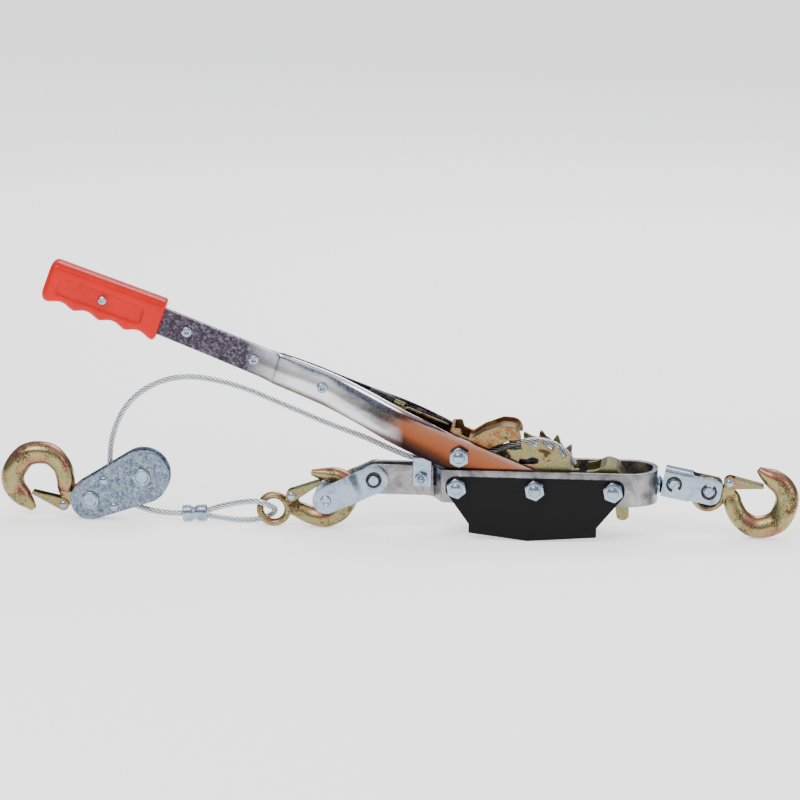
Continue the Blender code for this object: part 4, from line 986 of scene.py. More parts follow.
def tubular_rivet(name, node, head_r=4.8, hole_r=1.7):
    """A semi-tubular rivet: a rolled ring round a dark hole on each side."""
    x, z = middle(node)
    y0, y1 = reach(node)
    mid, half = (y0 + y1) / 2, (y1 - y0) / 2
    side = [(0, half - 2.6, 0), (hole_r - 0.2, half - 2.6, 0), (hole_r, half - 0.5, 0.4),
            (hole_r + 0.7, half, 0.6), (head_r - 1.2, half - 0.1, 0.8), (head_r, half - 1.1, 0.5),
            (head_r - 0.2, half - 2.0, 0), (2.4, half - 2.1, 0)]
    top = rounded(side, math.radians(20))
    profile = top + [(r, -h) for r, h in reversed(top)]
    settle(turned(name, profile, across(x, z, mid), 48), "zinc", node)


# ---- frame ------------------------------------------------------------------------------------

NECK_HALF_Y = 8.5
NECK_HALF = 13.5
NECK_END = reach("frame_strap", 0)[0]
STRAP_HALF = 15.0
STRAP_MID_Y = 29.5
STRAP_REAR = 106.5


def strap_height(x):
    """Half the strap's height: round at the neck's nose, wider behind the neck."""
    nose = NECK_END + NECK_HALF
    if x < nose:
        return max(0.9, math.sqrt(max(0.0, NECK_HALF ** 2 - (nose - x) ** 2)))
    return NECK_HALF + (STRAP_HALF - NECK_HALF) * ease((x + 97) / 7)


def build_strap():
    nose = [(NECK_END + NECK_HALF * (1 - math.cos(math.radians(a))), NECK_HALF_Y, 0)
            for a in range(0, 91, 9)]
    half = nose + [(-120, NECK_HALF_Y, 0), (-100, NECK_HALF_Y, 0), (-90.2, NECK_HALF_Y, 4.5),
                   (-82.0, STRAP_MID_Y, 4.5), (-60, STRAP_MID_Y, 0), (60, STRAP_MID_Y, 0),
                   (STRAP_REAR, STRAP_MID_Y, 25)]
    corners = [(x, -y, r) for x, y, r in half] + [(x, y, r) for x, y, r in reversed(half)]
    line = fillet(corners, math.radians(4), closed=False)
    pts = [Vector((p[0], p[1], 0.0)) for p in line]
    rings = []
    for i, p in enumerate(pts):
        before = (p - pts[max(i - 1, 0)]).normalized() if i else None
        after = (pts[min(i + 1, len(pts) - 1)] - p).normalized() if i < len(pts) - 1 else None
        a, b = before or after, after or before
        along = (a + b).normalized()
        stretch = 1 / max(0.5, along.dot(b))
        side = Vector((along.y, -along.x, 0)) * stretch
        rings.append([p + side * u + Vector((0, 0, v))
                      for u, v in soft_box(2.5, strap_height(p.x), 0.8)])
    strap = bored(loft("strap_finished", rings), BOLT_R, *FRAME_BOLTS)
    strap = bored(strap, NECK_PIN_R, NECK_PIN)
    strap = bored(strap, SADDLE_BOLT_R, SADDLE_BOLT)
    stud_hole = turned("stud_hole", [(0, STRAP_REAR - 8), (STUD_R + GAP, STRAP_REAR - 8),
                                     (STUD_R + GAP, STRAP_REAR + 8), (0, STRAP_REAR + 8)],
                       Matrix.Rotation(math.pi / 2, 4, "Y"), 48)
    strap = cut(strap, stud_hole)
    settle(strap, "steel", "frame_strap", sharp=40)

    # the weld seam where the strap's two ends meet on the far wall
    bead = [(79 + 0.25 * math.sin(t * 1.7), STRAP_MID_Y - 2.35, -14.2 + 28.4 * t / 24) for t in range(25)]
    settle(tube("strap_seam", bead, lambda i: 0.75 + 0.18 * math.sin(i * 2.3), 12), "steel", body="root")


def build_side_plates():
    outline = fillet([(-80.5, 9.2, 8.5), (80.5, 9.2, 8.5), (80, -5, 6), (55.5, -34.6, 0.8),
                      (55.5, -43.2, 1), (-6.5, -47.9, 4), (-59, -41.6, 1), (-59, -33.6, 0.8),
                      (-80, -4.5, 6)])
    for side in ("near", "far"):
        node = f"side_plate_{side}"
        holes = [circle(*place, BOLT_R + GAP) for place in FRAME_BOLTS]
        settle(plate(f"black_plate_{side}", [outline, *holes], *reach(node), 0.35), "enamel", node)


def build_frame_bolts():
    for label, x in (("front", -REAR_BOLT[0]), ("axle", 0.0), ("rear", REAR_BOLT[0])):
        bolted(label, x, 0.0, BOLT_R, 16.0, 16.0)


def build_guide():
    lo, hi = corners_of("cable_guide")
    out, wall, top = hi.y - 2.5, 2.5, hi.z
    loop = fillet([(-out - wall, -5, 0.6), (-out - wall, top, 4), (out + wall, top, 4),
                   (out + wall, -5, 0.6), (out, -5, 0.6), (out, top - wall, 1.6),
                   (-out, top - wall, 1.6), (-out, -5, 0.6)])
    saddle = plate("cable_guide_finished", [loop], lo.x, hi.x, 0.5)
    saddle.data.transform(Matrix.Rotation(-math.pi / 2, 4, "Z"))
    settle(bored(saddle, SADDLE_BOLT_R, SADDLE_BOLT), "zinc", "cable_guide")
    bolted("guide", *SADDLE_BOLT, 3.0, 11.0, 10.0)


def link_arm(name, sign, node):
    """A front link arm: a joggled strap with round ends."""
    span = math.hypot(LINK_PIN[0] - NECK_PIN[0], LINK_PIN[1] - NECK_PIN[1])
    slope = math.atan2(NECK_PIN[1] - LINK_PIN[1], NECK_PIN[0] - LINK_PIN[0])
    r_top, r_low, thick = 13.0, 12.2, 3.0
    stations = [r_top * math.cos(math.radians(a)) for a in range(4, 90, 8)]
    stations += [-4, -9, -11, *[-12 - 0.75 * k for k in range(13)], -24, -32, -40, -span]
    stations += [-span - r_low * math.sin(math.radians(a)) for a in range(8, 88, 8)]
    rings = []
    for s in stations:
        if s > 0:
            half = math.sqrt(r_top ** 2 - s ** 2)
        elif s < -span:
            half = math.sqrt(r_low ** 2 - (s + span) ** 2)
        else:
            half = r_top + (r_low - r_top) * -s / span
        y = 12.9 + 2.2 * ease((-s - 12) / 9)
        rings.append([(s, sign * (y + u), v) for u, v in soft_box(thick / 2, half, 0.6)])
    arm = loft(name, rings)
    arm.data.transform(Matrix.Translation(Vector((NECK_PIN[0], 0, NECK_PIN[1])) * MM)
                       @ Matrix.Rotation(-slope, 4, "Y"))
    arm = bored(arm, NECK_PIN_R, NECK_PIN)
    arm = bored(arm, LINK_PIN_R, LINK_PIN)
    settle(arm, "zinc", node, sharp=40)


def build_front_link():
    for side, sign in (("near", -1), ("far", 1)):
        link_arm(f"link_arm_{side}", sign, f"front_link_{side}")
    y0, y1 = reach("neck_pin")
    pin = rounded([(0, y1, 0), (7.0, y1, 1.0), (7.0, y1 - 2.0, 0), (NECK_PIN_R, y1 - 2.0, 0),
                   (NECK_PIN_R, y0, 0.9), (0, y0, 0)])
    settle(turned("neck_pin_finished", pin, across(*NECK_PIN)), "zinc", "neck_pin")
    ring = plate("neck_ring_finished", [circle(*NECK_PIN, 7.2), circle(*NECK_PIN, 4.9)],
                 *reach("neck_ring"), 0.3)
    settle(ring, "oxide", "neck_ring")
    y0, y1 = reach("link_pin")
    pin = rounded([(0, y1, 0), (5.6, y1, 1.6), (6.5, y1 - 2.0, 0), (LINK_PIN_R, y1 - 2.0, 0),
                   (LINK_PIN_R, y0 + 0.6, 0.6), (3.4, y0, 0.3), (2.6, y0 + 0.5, 0.3), (0, y0 + 0.7, 0)])
    settle(turned("link_pin_finished", pin, across(*LINK_PIN)), "zinc", "link_pin")


# ---- drum and pawls ---------------------------------------------------------------------------

ANCHOR_SLOT = [(-15, 19.5, 2), (1, 20.5, 2), (3, 24.5, 1.5), (-3, 26.5, 2), (-9, 24.2, 1),
               (-15.5, 25, 2)]


def build_wheels():
    sizes = bpy.context.scene.winch_sizes
    for side in ("near", "far"):
        node = f"ratchet_wheel_{side}"
        y0, y1 = reach(node)
        blank = points_object(f"toothed_wheel_{side}", [(0, 0, 0)])
        wheel = grown(blank, tree_of(wheel_tree), "chromate", Teeth=sizes.teeth, Tip=sizes.tooth_tip,
                      Root=sizes.tooth_root, Thickness=(y1 - y0) * MM)
        wheel.data.transform(Matrix.Translation((0, y1 * MM, 0)) @ Matrix.Rotation(math.pi / 2, 4, "X")
                             @ Matrix.Rotation(0.08, 4, "Z"))
        wheel = welded(wheel)
        wheel = cut(wheel, plate("slot", [fillet(ANCHOR_SLOT)], y0 - 3, y1 + 3, 0.01))
        settle(broken_edges(wheel, 0.45), "chromate", node, sharp=None)


def build_drum():
    y0, y1 = reach("drum_core")
    flange = y1 - 4.2
    hub = rounded([(8.0, y1, 0.5), (8.0, flange, 0), (DRUM_CORE_R, flange, 0.6), (DRUM_CORE_R, -flange, 0.6),
                   (8.0, -flange, 0), (8.0, y0, 0.5)])
    hub += [(5.4, y0), (5.4, y1)]
    settle(turned("drum_hub", hub, across(0, 0), 64, loop=True), "zinc", "drum_core")

    sizes = bpy.context.scene.winch_sizes
    rope = sizes.rope / MM
    half = reach("wound_cable")[1]
    turns = int((2 * half - rope) // (rope + 0.05))
    pitch = (2 * half - rope - 0.4) / turns
    laid = 34.6 - rope / 2
    steps = 48
    path = []
    for k in range(turns * steps + 1):
        a = 2 * math.pi * k / steps
        path.append((laid * math.cos(a), -half + rope / 2 + 0.2 + pitch * k / steps, laid * math.sin(a)))
    wound = grown(line_object("wound_rope", path), tree_of(rope_tree), "rope", Diameter=sizes.rope,
                  Lay=sizes.lay, Strands=sizes.strands, Step=0.002)
    bore = DRUM_CORE_R + GAP
    under = turned("under_turns", [(bore, -half), (laid - 0.6, -half), (laid - 0.6, half), (bore, half)],
                   across(0, 0), 64, loop=True)
    settle(joined("wound_rope_finished", wound, under), "rope", "wound_cable", sharp=60)


def build_drive_pawl():
    side = fillet([(-77.5, 26, 6), (-68.5, 16.6, 7), (-58, 22, 4), (-38, 35.0, 6), (-24, 40.6, 3),
                   (-16.5, 41.2, 0.5), (-13.6, 41.6, 0.8), (-14.0, 53.2, 10),
                   (-31, 54.4, 10), (-47, 48.2, 8), (-58, 40.5, 6), (-66, 42.5, 2), (-68.5, 51, 2),
                   (-77.5, 50.5, 2)])
    half, inner = 21.5, 18.6
    body = plate("drive_pawl_finished", [side, circle(*PAWL_BOLT, 5.4)], -half, half, 0.6)
    body = cut(body, box("inside", -74.4, 0, -inner, inner, 0, 70))
    # the pressed flanges along the top of the two cheeks stand inwards, as a bright double rim
    rim = fillet([(-70.0, 49.3, 0), (-68.0, 43.6, 2.5), (-58.5, 39.4, 6), (-47, 46.7, 8),
                  (-31, 52.8, 10), (-15.5, 51.7, 8.4), (-15.2, 43.0, 0)], closed=False)
    rims = []
    for i, y in enumerate((-half + 1.3, half - 1.3)):
        rims.append(swept(f"rim_{i}", [(p[0], y, p[1]) for p in rim],
                          lambda i: soft_box(1.6, 1.5, 1.2, 5)))
    saddle = [(x, 0, z - 2.2) for x, z in rim if -65 < x < -17]
    web = swept("web", saddle, lambda i: soft_box(0.8, 18.5, 0.4))
    settle(joined("drive_pawl_finished", body, web, *rims), "amber", "drive_pawl", sharp=35)
    x, z = middle("pawl_cross_pin")
    y0, y1 = reach("pawl_cross_pin")
    pin = rounded([(0, y1, 0), (3.0, y1, 0.7), (3.0, y0, 0.7), (0, y0, 0)])
    collar = [(3.0, y0 + 0.5), (4.3, y0 + 0.5), (4.3, y0 + 1.0), (3.0, y0 + 1.0)]
    pieces = (turned("pin", pin, across(x, z)), turned("collar", collar, across(x, z), loop=True))
    settle(joined("pawl_cross_pin_finished", *pieces), "forged", "pawl_cross_pin")


def build_hold_pawl():
    side = fillet([(79.6, 9, 6), (73, 18, 6), (64, 20.5, 6), (53, 15.5, 6), (45.0, 14.6, 1.5),
                   (44.6, 9.5, 0.5), (56, 5, 4), (61, -8, 7), (70, -11.5, 2), (73, -33, 5),
                   (84, -33, 5), (82.6, -12, 6)])
    body = plate("hold_pawl_finished", [side, circle(*REAR_BOLT, BOLT_R + GAP)], -20.5, 20.5, 0.7)
    body = cut(body, box("nose", 30, 57.5, -16.2, 16.2, -5, 30), box("tail_near", 60, 95, -30, -6, -45, -11),
               box("tail_far", 60, 95, 6, 30, -45, -11))
    settle(body, "chromate", "hold_pawl", sharp=35)


# ---- handle -----------------------------------------------------------------------------------

# Handle stations: x, z, half width, y of the plate's middle, depth of its turned-in edges
HANDLE_STATIONS = (
    (0.0, 0.0, 14.0, 24.5, 0.0), (-30.0, 11.6, 14.6, 24.5, 0.0), (-68.5, 26.5, 15.2, 24.5, 0.0),
    (-95.0, 38.1, 15.2, 24.5, 0.6), (-125.0, 51.7, 15.0, 23.6, 3.5), (-155.0, 65.2, 14.6, 13.2, 4.2),
    (-182.0, 77.2, 14.3, 6.4, 4.2), (-205.0, 86.7, 14.0, 5.6, 3.8), (-232.0, 96.7, 13.3, 3.4, 1.6),
    (-246.0, 101.8, 12.8, 1.75, 0.0), (-316.7, 129.5, 12.4, 1.75, 0.0),
    (-391.8, 158.2, 12.2, 1.75, 0.0), (-440.0, 175.0, 11.6, 1.75, 0.0))
LIP = ((-1.0, 1.0), (-0.985, 0.62), (-0.95, 0.28), (-0.89, 0.07), (-0.80, 0.0), (-0.4, -0.04),
       (0.0, -0.06), (0.4, -0.04), (0.80, 0.0), (0.89, 0.07), (0.95, 0.28), (0.985, 0.62), (1.0, 1.0))


def handle_plate(name, sign, node):
    """One stamped plate: flat fork, S-bend and flat tail, with turned-in edges between."""
    stations = smooth(HANDLE_STATIONS, 8)
    first = Vector(stations[0][:2])
    heading = (Vector(stations[1][:2]) - first).normalized()
    nose = [(*(first - heading * 14.0 * f), 14.0 * math.sqrt(1 - f * f), 24.5, 0.0)
            for f in (0.99, 0.97, 0.93, 0.87, 0.78, 0.66, 0.52, 0.36, 0.18)]
    stations = nose + stations
    half_thick, edge = 1.5, 0.45
    rings = []
    for i, (x, z, half, y, lip) in enumerate(stations):
        before = Vector(stations[max(i - 1, 0)][:2])
        after = Vector(stations[min(i + 1, len(stations) - 1)][:2])
        along = (after - before).normalized()
        normal = Vector((along.y, -along.x))
        line = [Vector((half * v, -lip * d)) for v, d in LIP]
        outer, inner = [], []
        for k, p in enumerate(line):
            run = line[min(k + 1, len(line) - 1)] - line[max(k - 1, 0)]
            run = run.normalized() if run.length > 1e-6 else Vector((1, 0))
            out = Vector((-run.y, run.x))
            trim = edge if k in (0, len(line) - 1) else 0.0
            outer.append(p + out * (half_thick - trim))
            inner.append(p - out * (half_thick - trim))
        tips = [line[0] + (line[0] - line[1]).normalized() * 0.35,
                line[-1] + (line[-1] - line[-2]).normalized() * 0.35]
        section = [tips[0], *outer, tips[1], *reversed(inner)]
        rings.append([(x + normal.x * v, sign * (y + d), z + normal.y * v) for v, d in section])
    plate_obj = bored(loft(name, rings), BOLT_R, (0.0, 0.0), PAWL_BOLT)
    plate_obj = bored(plate_obj, RIVET_R, *(middle(f"handle_rivet_{i}") for i in (1, 2, 3)))
    plate_obj = bored(plate_obj, GRIP_SCREW_R, GRIP_SCREW)
    lows = [Vector(p[:2]) for p in HANDLE_STATIONS]
    mesh = plate_obj.data
    along = mesh.attributes.new("along", "FLOAT", "POINT")
    # across: each point's place over the plate's width, which lays out the chrome's painted reflection
    # stripes
    over = mesh.attributes.new("across", "FLOAT", "POINT")
    for i, v in enumerate(mesh.vertices):
        p = Vector((v.co.x, v.co.z)) / MM
        # the far plate is violet from end to end
        along.data[i].value = 0.0 if sign > 0 else min(1.0, max(0.0, (p.x + 440) / 440))
        k = min(range(len(lows)), key=lambda n: (lows[n] - p).length)
        k = min(max(k, 1), len(lows) - 1)
        run = (lows[k] - lows[k - 1]).normalized()
        normal = Vector((run.y, -run.x))
        offset = (p - lows[k]).dot(normal)
        over.data[i].value = offset / HANDLE_STATIONS[k][2]
    settle(plate_obj, "chrome", node, sharp=42)


def build_handle_plates():
    for side, sign in (("near", -1), ("far", 1)):
        handle_plate(f"handle_cheek_{side}", sign, f"handle_plate_{side}")
    for i in (1, 2, 3):
        tubular_rivet(f"cheek_rivet_{i}", f"handle_rivet_{i}")
    bolted("pawl", *PAWL_BOLT, BOLT_R, 16.0, 15.0, turn=0.5)


GRIP_SLOPE = math.radians(160.8)
GRIP_OUTER, GRIP_INNER = 54.2, -55.6
GRIP_TOP, GRIP_BELLY = 18.6, -19.6


def grip_belly(u):
    """The belly's height: four finger hollows with soft ridges between them."""
    pitch, depth, start = 24.6, 3.6, 47.0
    t = (start - u) / pitch
    if not 0 <= t <= 4:
        return GRIP_BELLY
    return GRIP_BELLY + depth * (0.5 - 0.5 * math.cos(2 * math.pi * t)) ** 0.75


def grip_ring(u, half_y):
    """The grip's section at u, with a recessed panel on each side and a seam along the top."""
    end = min(GRIP_OUTER - u, u - GRIP_INNER)
    round_r = 6.0 if u > 0 else 3.2
    t = min(1.0, max(0.0, end / round_r))
    shrink = round_r * (1 - math.sqrt(max(0.0, 1 - (1 - t) ** 2)))
    top, belly = GRIP_TOP - shrink, grip_belly(u) + shrink
    mid, half_v, half = (top + belly) / 2, (top - belly) / 2, half_y - shrink * 0.9
    r = min(6.5, half * 0.9, half_v * 0.9)
    ring = []
    rows = 26
    corner = 10
    sides = []
    for k in range(rows + 1):
        sides.append((half, -half_v + r + (2 * half_v - 2 * r) * k / rows))
    for k in range(1, corner):
        a = math.pi / 2 * k / corner
        sides.append((half - r + r * math.cos(a), half_v - r + r * math.sin(a)))
    cap = [half - r, (half - r) * 0.5, 1.1, 0.45, 0.0]
    sides += [(y, half_v) for y in cap]
    right_low = [(y, -half_v) for y in reversed(cap)][:-1]
    for k in range(1, corner):
        a = math.pi / 2 * (corner - k) / corner
        right_low.append((half - r + r * math.cos(a), -half_v + r - r * math.sin(a)))
    right = [(0.0, -half_v)] + right_low[1:] + sides
    left = [(-y, v) for y, v in reversed(right[1:-1])]
    for y, v in right + left:
        if abs(y) < 0.3:
            v -= math.copysign(0.55, v)
        height = v + mid
        inside = min(u + 38.5, 43.0 - u, height + 9.7, 7.2 - height)
        du, dv = max(0.0, 4 - (u + 38.5), 4 - (43.0 - u)), max(0.0, 4 - (height + 9.7), 4 - (7.2 - height))
        if du > 0 and dv > 0:
            inside = min(inside, 4 - math.hypot(du, dv))
        if abs(y) > half * 0.8:
            y -= math.copysign(1.5 * ease(inside / 0.9), y)
        ring.append((u, y, height))
    return ring


def build_grip():
    half_y = bpy.context.scene.winch_sizes.grip_thickness / 2 / MM
    ends = [0.03, 0.35, 0.9, 1.7, 2.6, 3.6, 4.8, 6.0]
    stations = [GRIP_INNER + e for e in ends]
    u = GRIP_INNER + 6.8
    while u < GRIP_OUTER - 6.5:
        stations.append(u)
        u += 0.75
    stations += [GRIP_OUTER - e for e in reversed(ends)]
    grip = loft("grip_body", [grip_ring(u, half_y) for u in stations])
    turn = Matrix.Translation(Vector((GRIP_SCREW[0], 0, GRIP_SCREW[1])) * MM)
    turn = turn @ Matrix.Rotation(math.pi - GRIP_SLOPE, 4, "Y") @ Matrix.Diagonal((-1, 1, 1, 1))
    grip.data.transform(turn)
    settle(welded(grip), "abs", "grip", sharp=50)
    y0, y1 = reach("grip_screw")
    half = (y1 - y0) / 2
    top = rounded([(0, half - 1.6, 0), (1.5, half - 1.6, 0), (1.7, half - 0.3, 0.3), (2.3, half, 0.4),
                   (3.8, half - 0.7, 0.8), (3.8, half - 1.8, 0), (2.2, half - 1.9, 0)], math.radians(20))
    profile = top + [(r, -h) for r, h in reversed(top)]
    screw = turned("grip_screw_finished", profile, across(*GRIP_SCREW), 40)
    settle(screw, "zinc", "grip_screw")


def build_handle_spring():
    anchor, tail = Vector((-186.0, 0, 91.5)), Vector((-78.2, 0, 49.3))
    along = (tail - anchor).normalized()
    heading = math.atan2(along.x, along.z)

    def on_line(distance):
        return Matrix.Translation((anchor + along * distance) * MM) @ Matrix.Rotation(heading, 4, "Y")

    wires = []
    for i, y in enumerate((-1.0, 1.0)):
        path = smooth([(-193.8, y * 0.4, 88.4), (-191.5, y * 0.8, 90.4), (-188.5, y, 91.6),
                       (-183.0, y, 90.5), tuple(anchor + along * 36 + Vector((0, y, 0)))], 6)
        wires.append(tube(f"hairpin_{i}", path, 0.8, 14))
    settle(joined("hairpin_wire", *wires), "oxide", "spring_wire")
    sleeve = rounded([(0, 24, 0), (4.2, 24, 0.8), (4.8, 19, 3), (4.8, 2, 1), (4.2, 0, 0.5), (0, 0, 0)])
    settle(turned("spring_boot", sleeve, on_line(36 + GAP), 40), "oxide", "spring_sleeve")
    reach_left = (tail - anchor).length - 36 - 24 - 3 * GAP
    start = points_object("coil_start", [(0, 0, 0)])
    coil = grown(start, tree_of(helix_tree), "chromate", Radius=2.7 * MM, Wire=0.8 * MM,
                 Pitch=1.62 * MM, Turns=6.0, Sides=14, Rotation=(0, 0, 0))
    hook_end = tube("coil_tail", smooth([(2.7, 0, 9.4), (1.6, 0, 11.5), (0, 0, 13.5), (0, 0, 20),
                                         (0, 0, reach_left - 1)], 6), 0.85, 12)
    piece = joined("pawl_spring", coil, hook_end)
    piece.data.transform(on_line(60 + 2 * GAP))
    piece.data.transform(Matrix.Translation(AXLE))
    piece.data.shade_smooth()
    piece.data.materials.clear()
    piece.data.materials.append(finish_of("chromate"))
    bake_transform(piece)
    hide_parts("spring_coil")


# ---- rear swivel, links and hooks -------------------------------------------------------------

LINK_SLOPE = math.radians(-11.0)


def build_swivel():
    inside, outside = STRAP_REAR - 3.3, STRAP_REAR + 2.9
    stem = rounded([(0, STUD_PIN[0], 0), (5.2, STUD_PIN[0], 0), (5.2, outside + 3.4, 1.0),
                    (8.4, outside + 1.6, 0.6), (8.4, outside, 0.4), (STUD_R, outside, 0), (STUD_R, inside, 0),
                    (8.4, inside, 0.5), (8.4, inside - 7, 1.6), (0, inside - 7, 0)])
    stud = turned("stem", stem, Matrix.Rotation(math.pi / 2, 4, "Y"), 64)
    eye = plate("eye", [circle(*STUD_PIN, 9.0), circle(*STUD_PIN, PIN_R + GAP)], -5.6, 5.6, 0.9)
    settle(joined("swivel_eye", cut(stud, rod("hole", *STUD_PIN, PIN_R + GAP, -20, 20)), eye), "zinc",
           "swivel_stud", sharp=35)


def build_rear_link():
    """A clevis pressed from sheet: rounded bends at the front, two open cheeks at the rear."""
    stations = [-10.0, -9.4, -8.0, -4, 0, 5, 10, 14.6, 15.4, 16.2, 17.0, 19, 24, 30, 34]
    stations += [34 + 9 * math.sin(math.radians(a)) for a in range(8, 90, 8)]
    rings = []
    for s in stations:
        step = ease((s - 15) / 1.8)
        top, low = 13.0 - 1.6 * step, -13.6 + 1.8 * step
        if s > 37.5:
            top -= 5.5 - math.sqrt(max(0.0, 5.5 ** 2 - (s - 37.5) ** 2))
        if s > 34:
            low += 9 - math.sqrt(max(0.0, 9 ** 2 - (s - 34) ** 2))
        corner = 3.0 * (1 - step) + 0.5
        mid, half = (top + low) / 2, (top - low) / 2
        rings.append([(s, u, mid + v) for u, v in soft_box(9.6, half, corner, 6)])
    body = loft("rear_link_finished", rings)
    inner = box("front_inside", -20, 16.3, -6.6, 6.6, -11.0, 10.4)
    rear = box("rear_inside", 14.9, 60, -6.6, 6.6, -30, 30)
    body = cut(body, inner, rear)
    body.data.transform(Matrix.Translation(Vector((STUD_PIN[0], 0, STUD_PIN[1])) * MM)
                        @ Matrix.Rotation(-LINK_SLOPE, 4, "Y"))
    settle(bored(body, PIN_R, STUD_PIN, HOOK_PIN), "zinc", "rear_link", sharp=38)
    for label, pin, opening in (("front", STUD_PIN, -75), ("rear", HOOK_PIN, 80)):
        node = f"{label}_clevis_pin"
        y0, y1 = reach(node)
        profile = rounded([(0, y1, 0), (6.6, y1, 0.8), (6.6, y1 - 2.2, 0.3), (PIN_R, y1 - 2.2, 0),
                           (PIN_R, y0, 0.5), (0, y0, 0)])
        body = turned(f"{label}_pin_finished", profile, across(*pin))
        groove = box("groove", -8, 8, y0 - 1, y0 + 1.7, -0.9, 0.9)
        groove.data.transform(Matrix.Translation(Vector((pin[0], 0, pin[1])) * MM)
                              @ Matrix.Rotation(math.radians(-48), 4, "Y"))
        settle(cut(body, groove), "zinc", node)
        clip = plate(f"{label}_clip_finished", [clip_outline(pin, opening)],
                     *reach(f"{label}_pin_clip"), 0.25)
        settle(clip, "oxide", f"{label}_pin_clip")


def clip_outline(pin, opening):
    """An E-clip: an open ring with its gap at the opening's angle."""
    start, end = math.radians(opening + 30), math.radians(opening + 330)
    steps = 60
    angles = [start + (end - start) * k / steps for k in range(steps + 1)]
    outer = [Vector((pin[0] + 7.2 * math.cos(a), pin[1] + 7.2 * math.sin(a))) for a in angles]
    inner = []
    for k, a in enumerate(reversed(angles)):
        tooth = 0.5 * math.cos(3 * math.pi * k / steps) ** 8
        r = PIN_R + GAP + 0.5 - tooth
        inner.append(Vector((pin[0] + r * math.cos(a), pin[1] + r * math.sin(a))))
    return outer + inner


HOOK_REACH = 45.5
EYE_R, EYE_TUBE, EYE_HALF_Y = 12.6, 3.3, 4.5
SLOT_HALF = 4.9
HOOK_POLAR = ((172, 33.3, 5.0), (173, 26.9, 6.2), (184, 23.4, 7.7), (203, 22.7, 8.5), (236, 23.2, 8.9),
              (274, 25.0, 10.0), (319, 25.8, 10.6), (4, 25.8, 10.7), (34, 25.1, 10.1), (64, 23.4, 8.8),
              (82, 24.6, 6.0), (96, 28.4, 3.0))
END_BOWL = ((-222.5, -30.0, 5.8), (-213.5, -33.0, 7.6), (-203.0, -36.9, 8.5), (-191.0, -37.9, 10.0),
            (-178.9, -31.8, 10.3), (-171.5, -20.0, 10.4), (-171.8, -8.2, 9.4), (-178.2, -1.4, 8.2),
            (-187.5, 0.6, 6.7), (-197.0, 1.5, 4.6), (-203.8, 2.8, 2.6))
REAR_HOOK = ((HOOK_PIN[0] - 1.0, HOOK_PIN[1] - 4.3), math.radians(-5.0), 0.0)
BLOCK_HOOK_SLOPE = math.radians(161.0)
BLOCK_HOOK = ((BLOCK_PIN[0] + 3.4 * math.cos(BLOCK_HOOK_SLOPE),
               BLOCK_PIN[1] + 3.4 * math.sin(BLOCK_HOOK_SLOPE)), BLOCK_HOOK_SLOPE, BLOCK_Y)
END_HOOK = ((-237.3, -32.1), math.radians(26.6), 0.0)
LATCH_PIVOT, BOSS_ROOT = (18.4, 13.6), (17.5, 4.0)
END_LATCH_PIVOT, END_BOSS_ROOT = (20.6, 4.6), (17.0, -6.5)
LATCH_LENGTH = 29.5


def hook_matrix(stand):
    (x, z), slope, y = stand
    return Matrix.Translation(Vector((x, y, z)) * MM) @ Matrix.Rotation(-slope, 4, "Y")


def bowl_path():
    return [(HOOK_REACH + d * math.cos(math.radians(a)), d * math.sin(math.radians(a)), r)
            for a, d, r in HOOK_POLAR]


def end_bowl_path():
    (ex, ez), slope, _ = END_HOOK
    c, s = math.cos(-slope), math.sin(-slope)
    return [((x - ex) * c - (z - ez) * s, (x - ex) * s + (z - ez) * c, r) for x, z, r in END_BOWL]


def forged_hook(name, node, stand, bowl, pivot, root):
    """A drop-forged slip hook: eye, bowl and latch boss melted into one skin."""
    fine = smooth(bowl, 8)
    path = [(x, 0, z) for x, z, _ in fine]

    def section(i):
        r = fine[i][2]
        points = []
        for k in range(28):
            a = 2 * math.pi * k / 28
            across_bar, thick = math.cos(a), math.sin(a)
            # thicker towards the bowl's inside, with a soft shoulder
            fat = 0.96 * (1 - 0.13 * across_bar) * abs(thick) ** 0.86 * (1 if thick > 0 else -1)
            points.append((r * across_bar, math.copysign(min(abs(r * fat), 5.2 + 0.2 * i), fat)))
        return points

    bar = swept("bar", path, section)
    ring = [(EYE_R + EYE_TUBE * math.cos(a), EYE_HALF_Y * math.sin(a))
            for a in (2 * math.pi * k / 20 for k in range(20))]
    eye = turned("eye", ring, across(0, 0), 72, loop=True)
    boss = plate("boss", [belt(root, 6.2, pivot, 4.6)], -SLOT_HALF, SLOT_HALF, 0.8)
    cheeks = []
    for side in (-1, 1):
        y0, y1 = sorted((side * SLOT_HALF, side * 16.0))
        cheeks.append(rod("cheek", *pivot, 13.0, y0, y1, 48))
    bar = cut(bar, *cheeks)
    whole = joined(name, bar, eye, boss)
    remesh = whole.modifiers.new("forge", "REMESH")
    remesh.mode = "VOXEL"
    remesh.voxel_size = bpy.context.scene.winch_sizes.forging
    remesh.use_smooth_shade = True
    relax = whole.modifiers.new("relax", "SMOOTH")
    relax.factor = 0.5
    relax.iterations = 7
    whole = settled_mesh(whole)
    whole.data.transform(hook_matrix(stand))
    settle(whole, "forged", node, sharp=None)


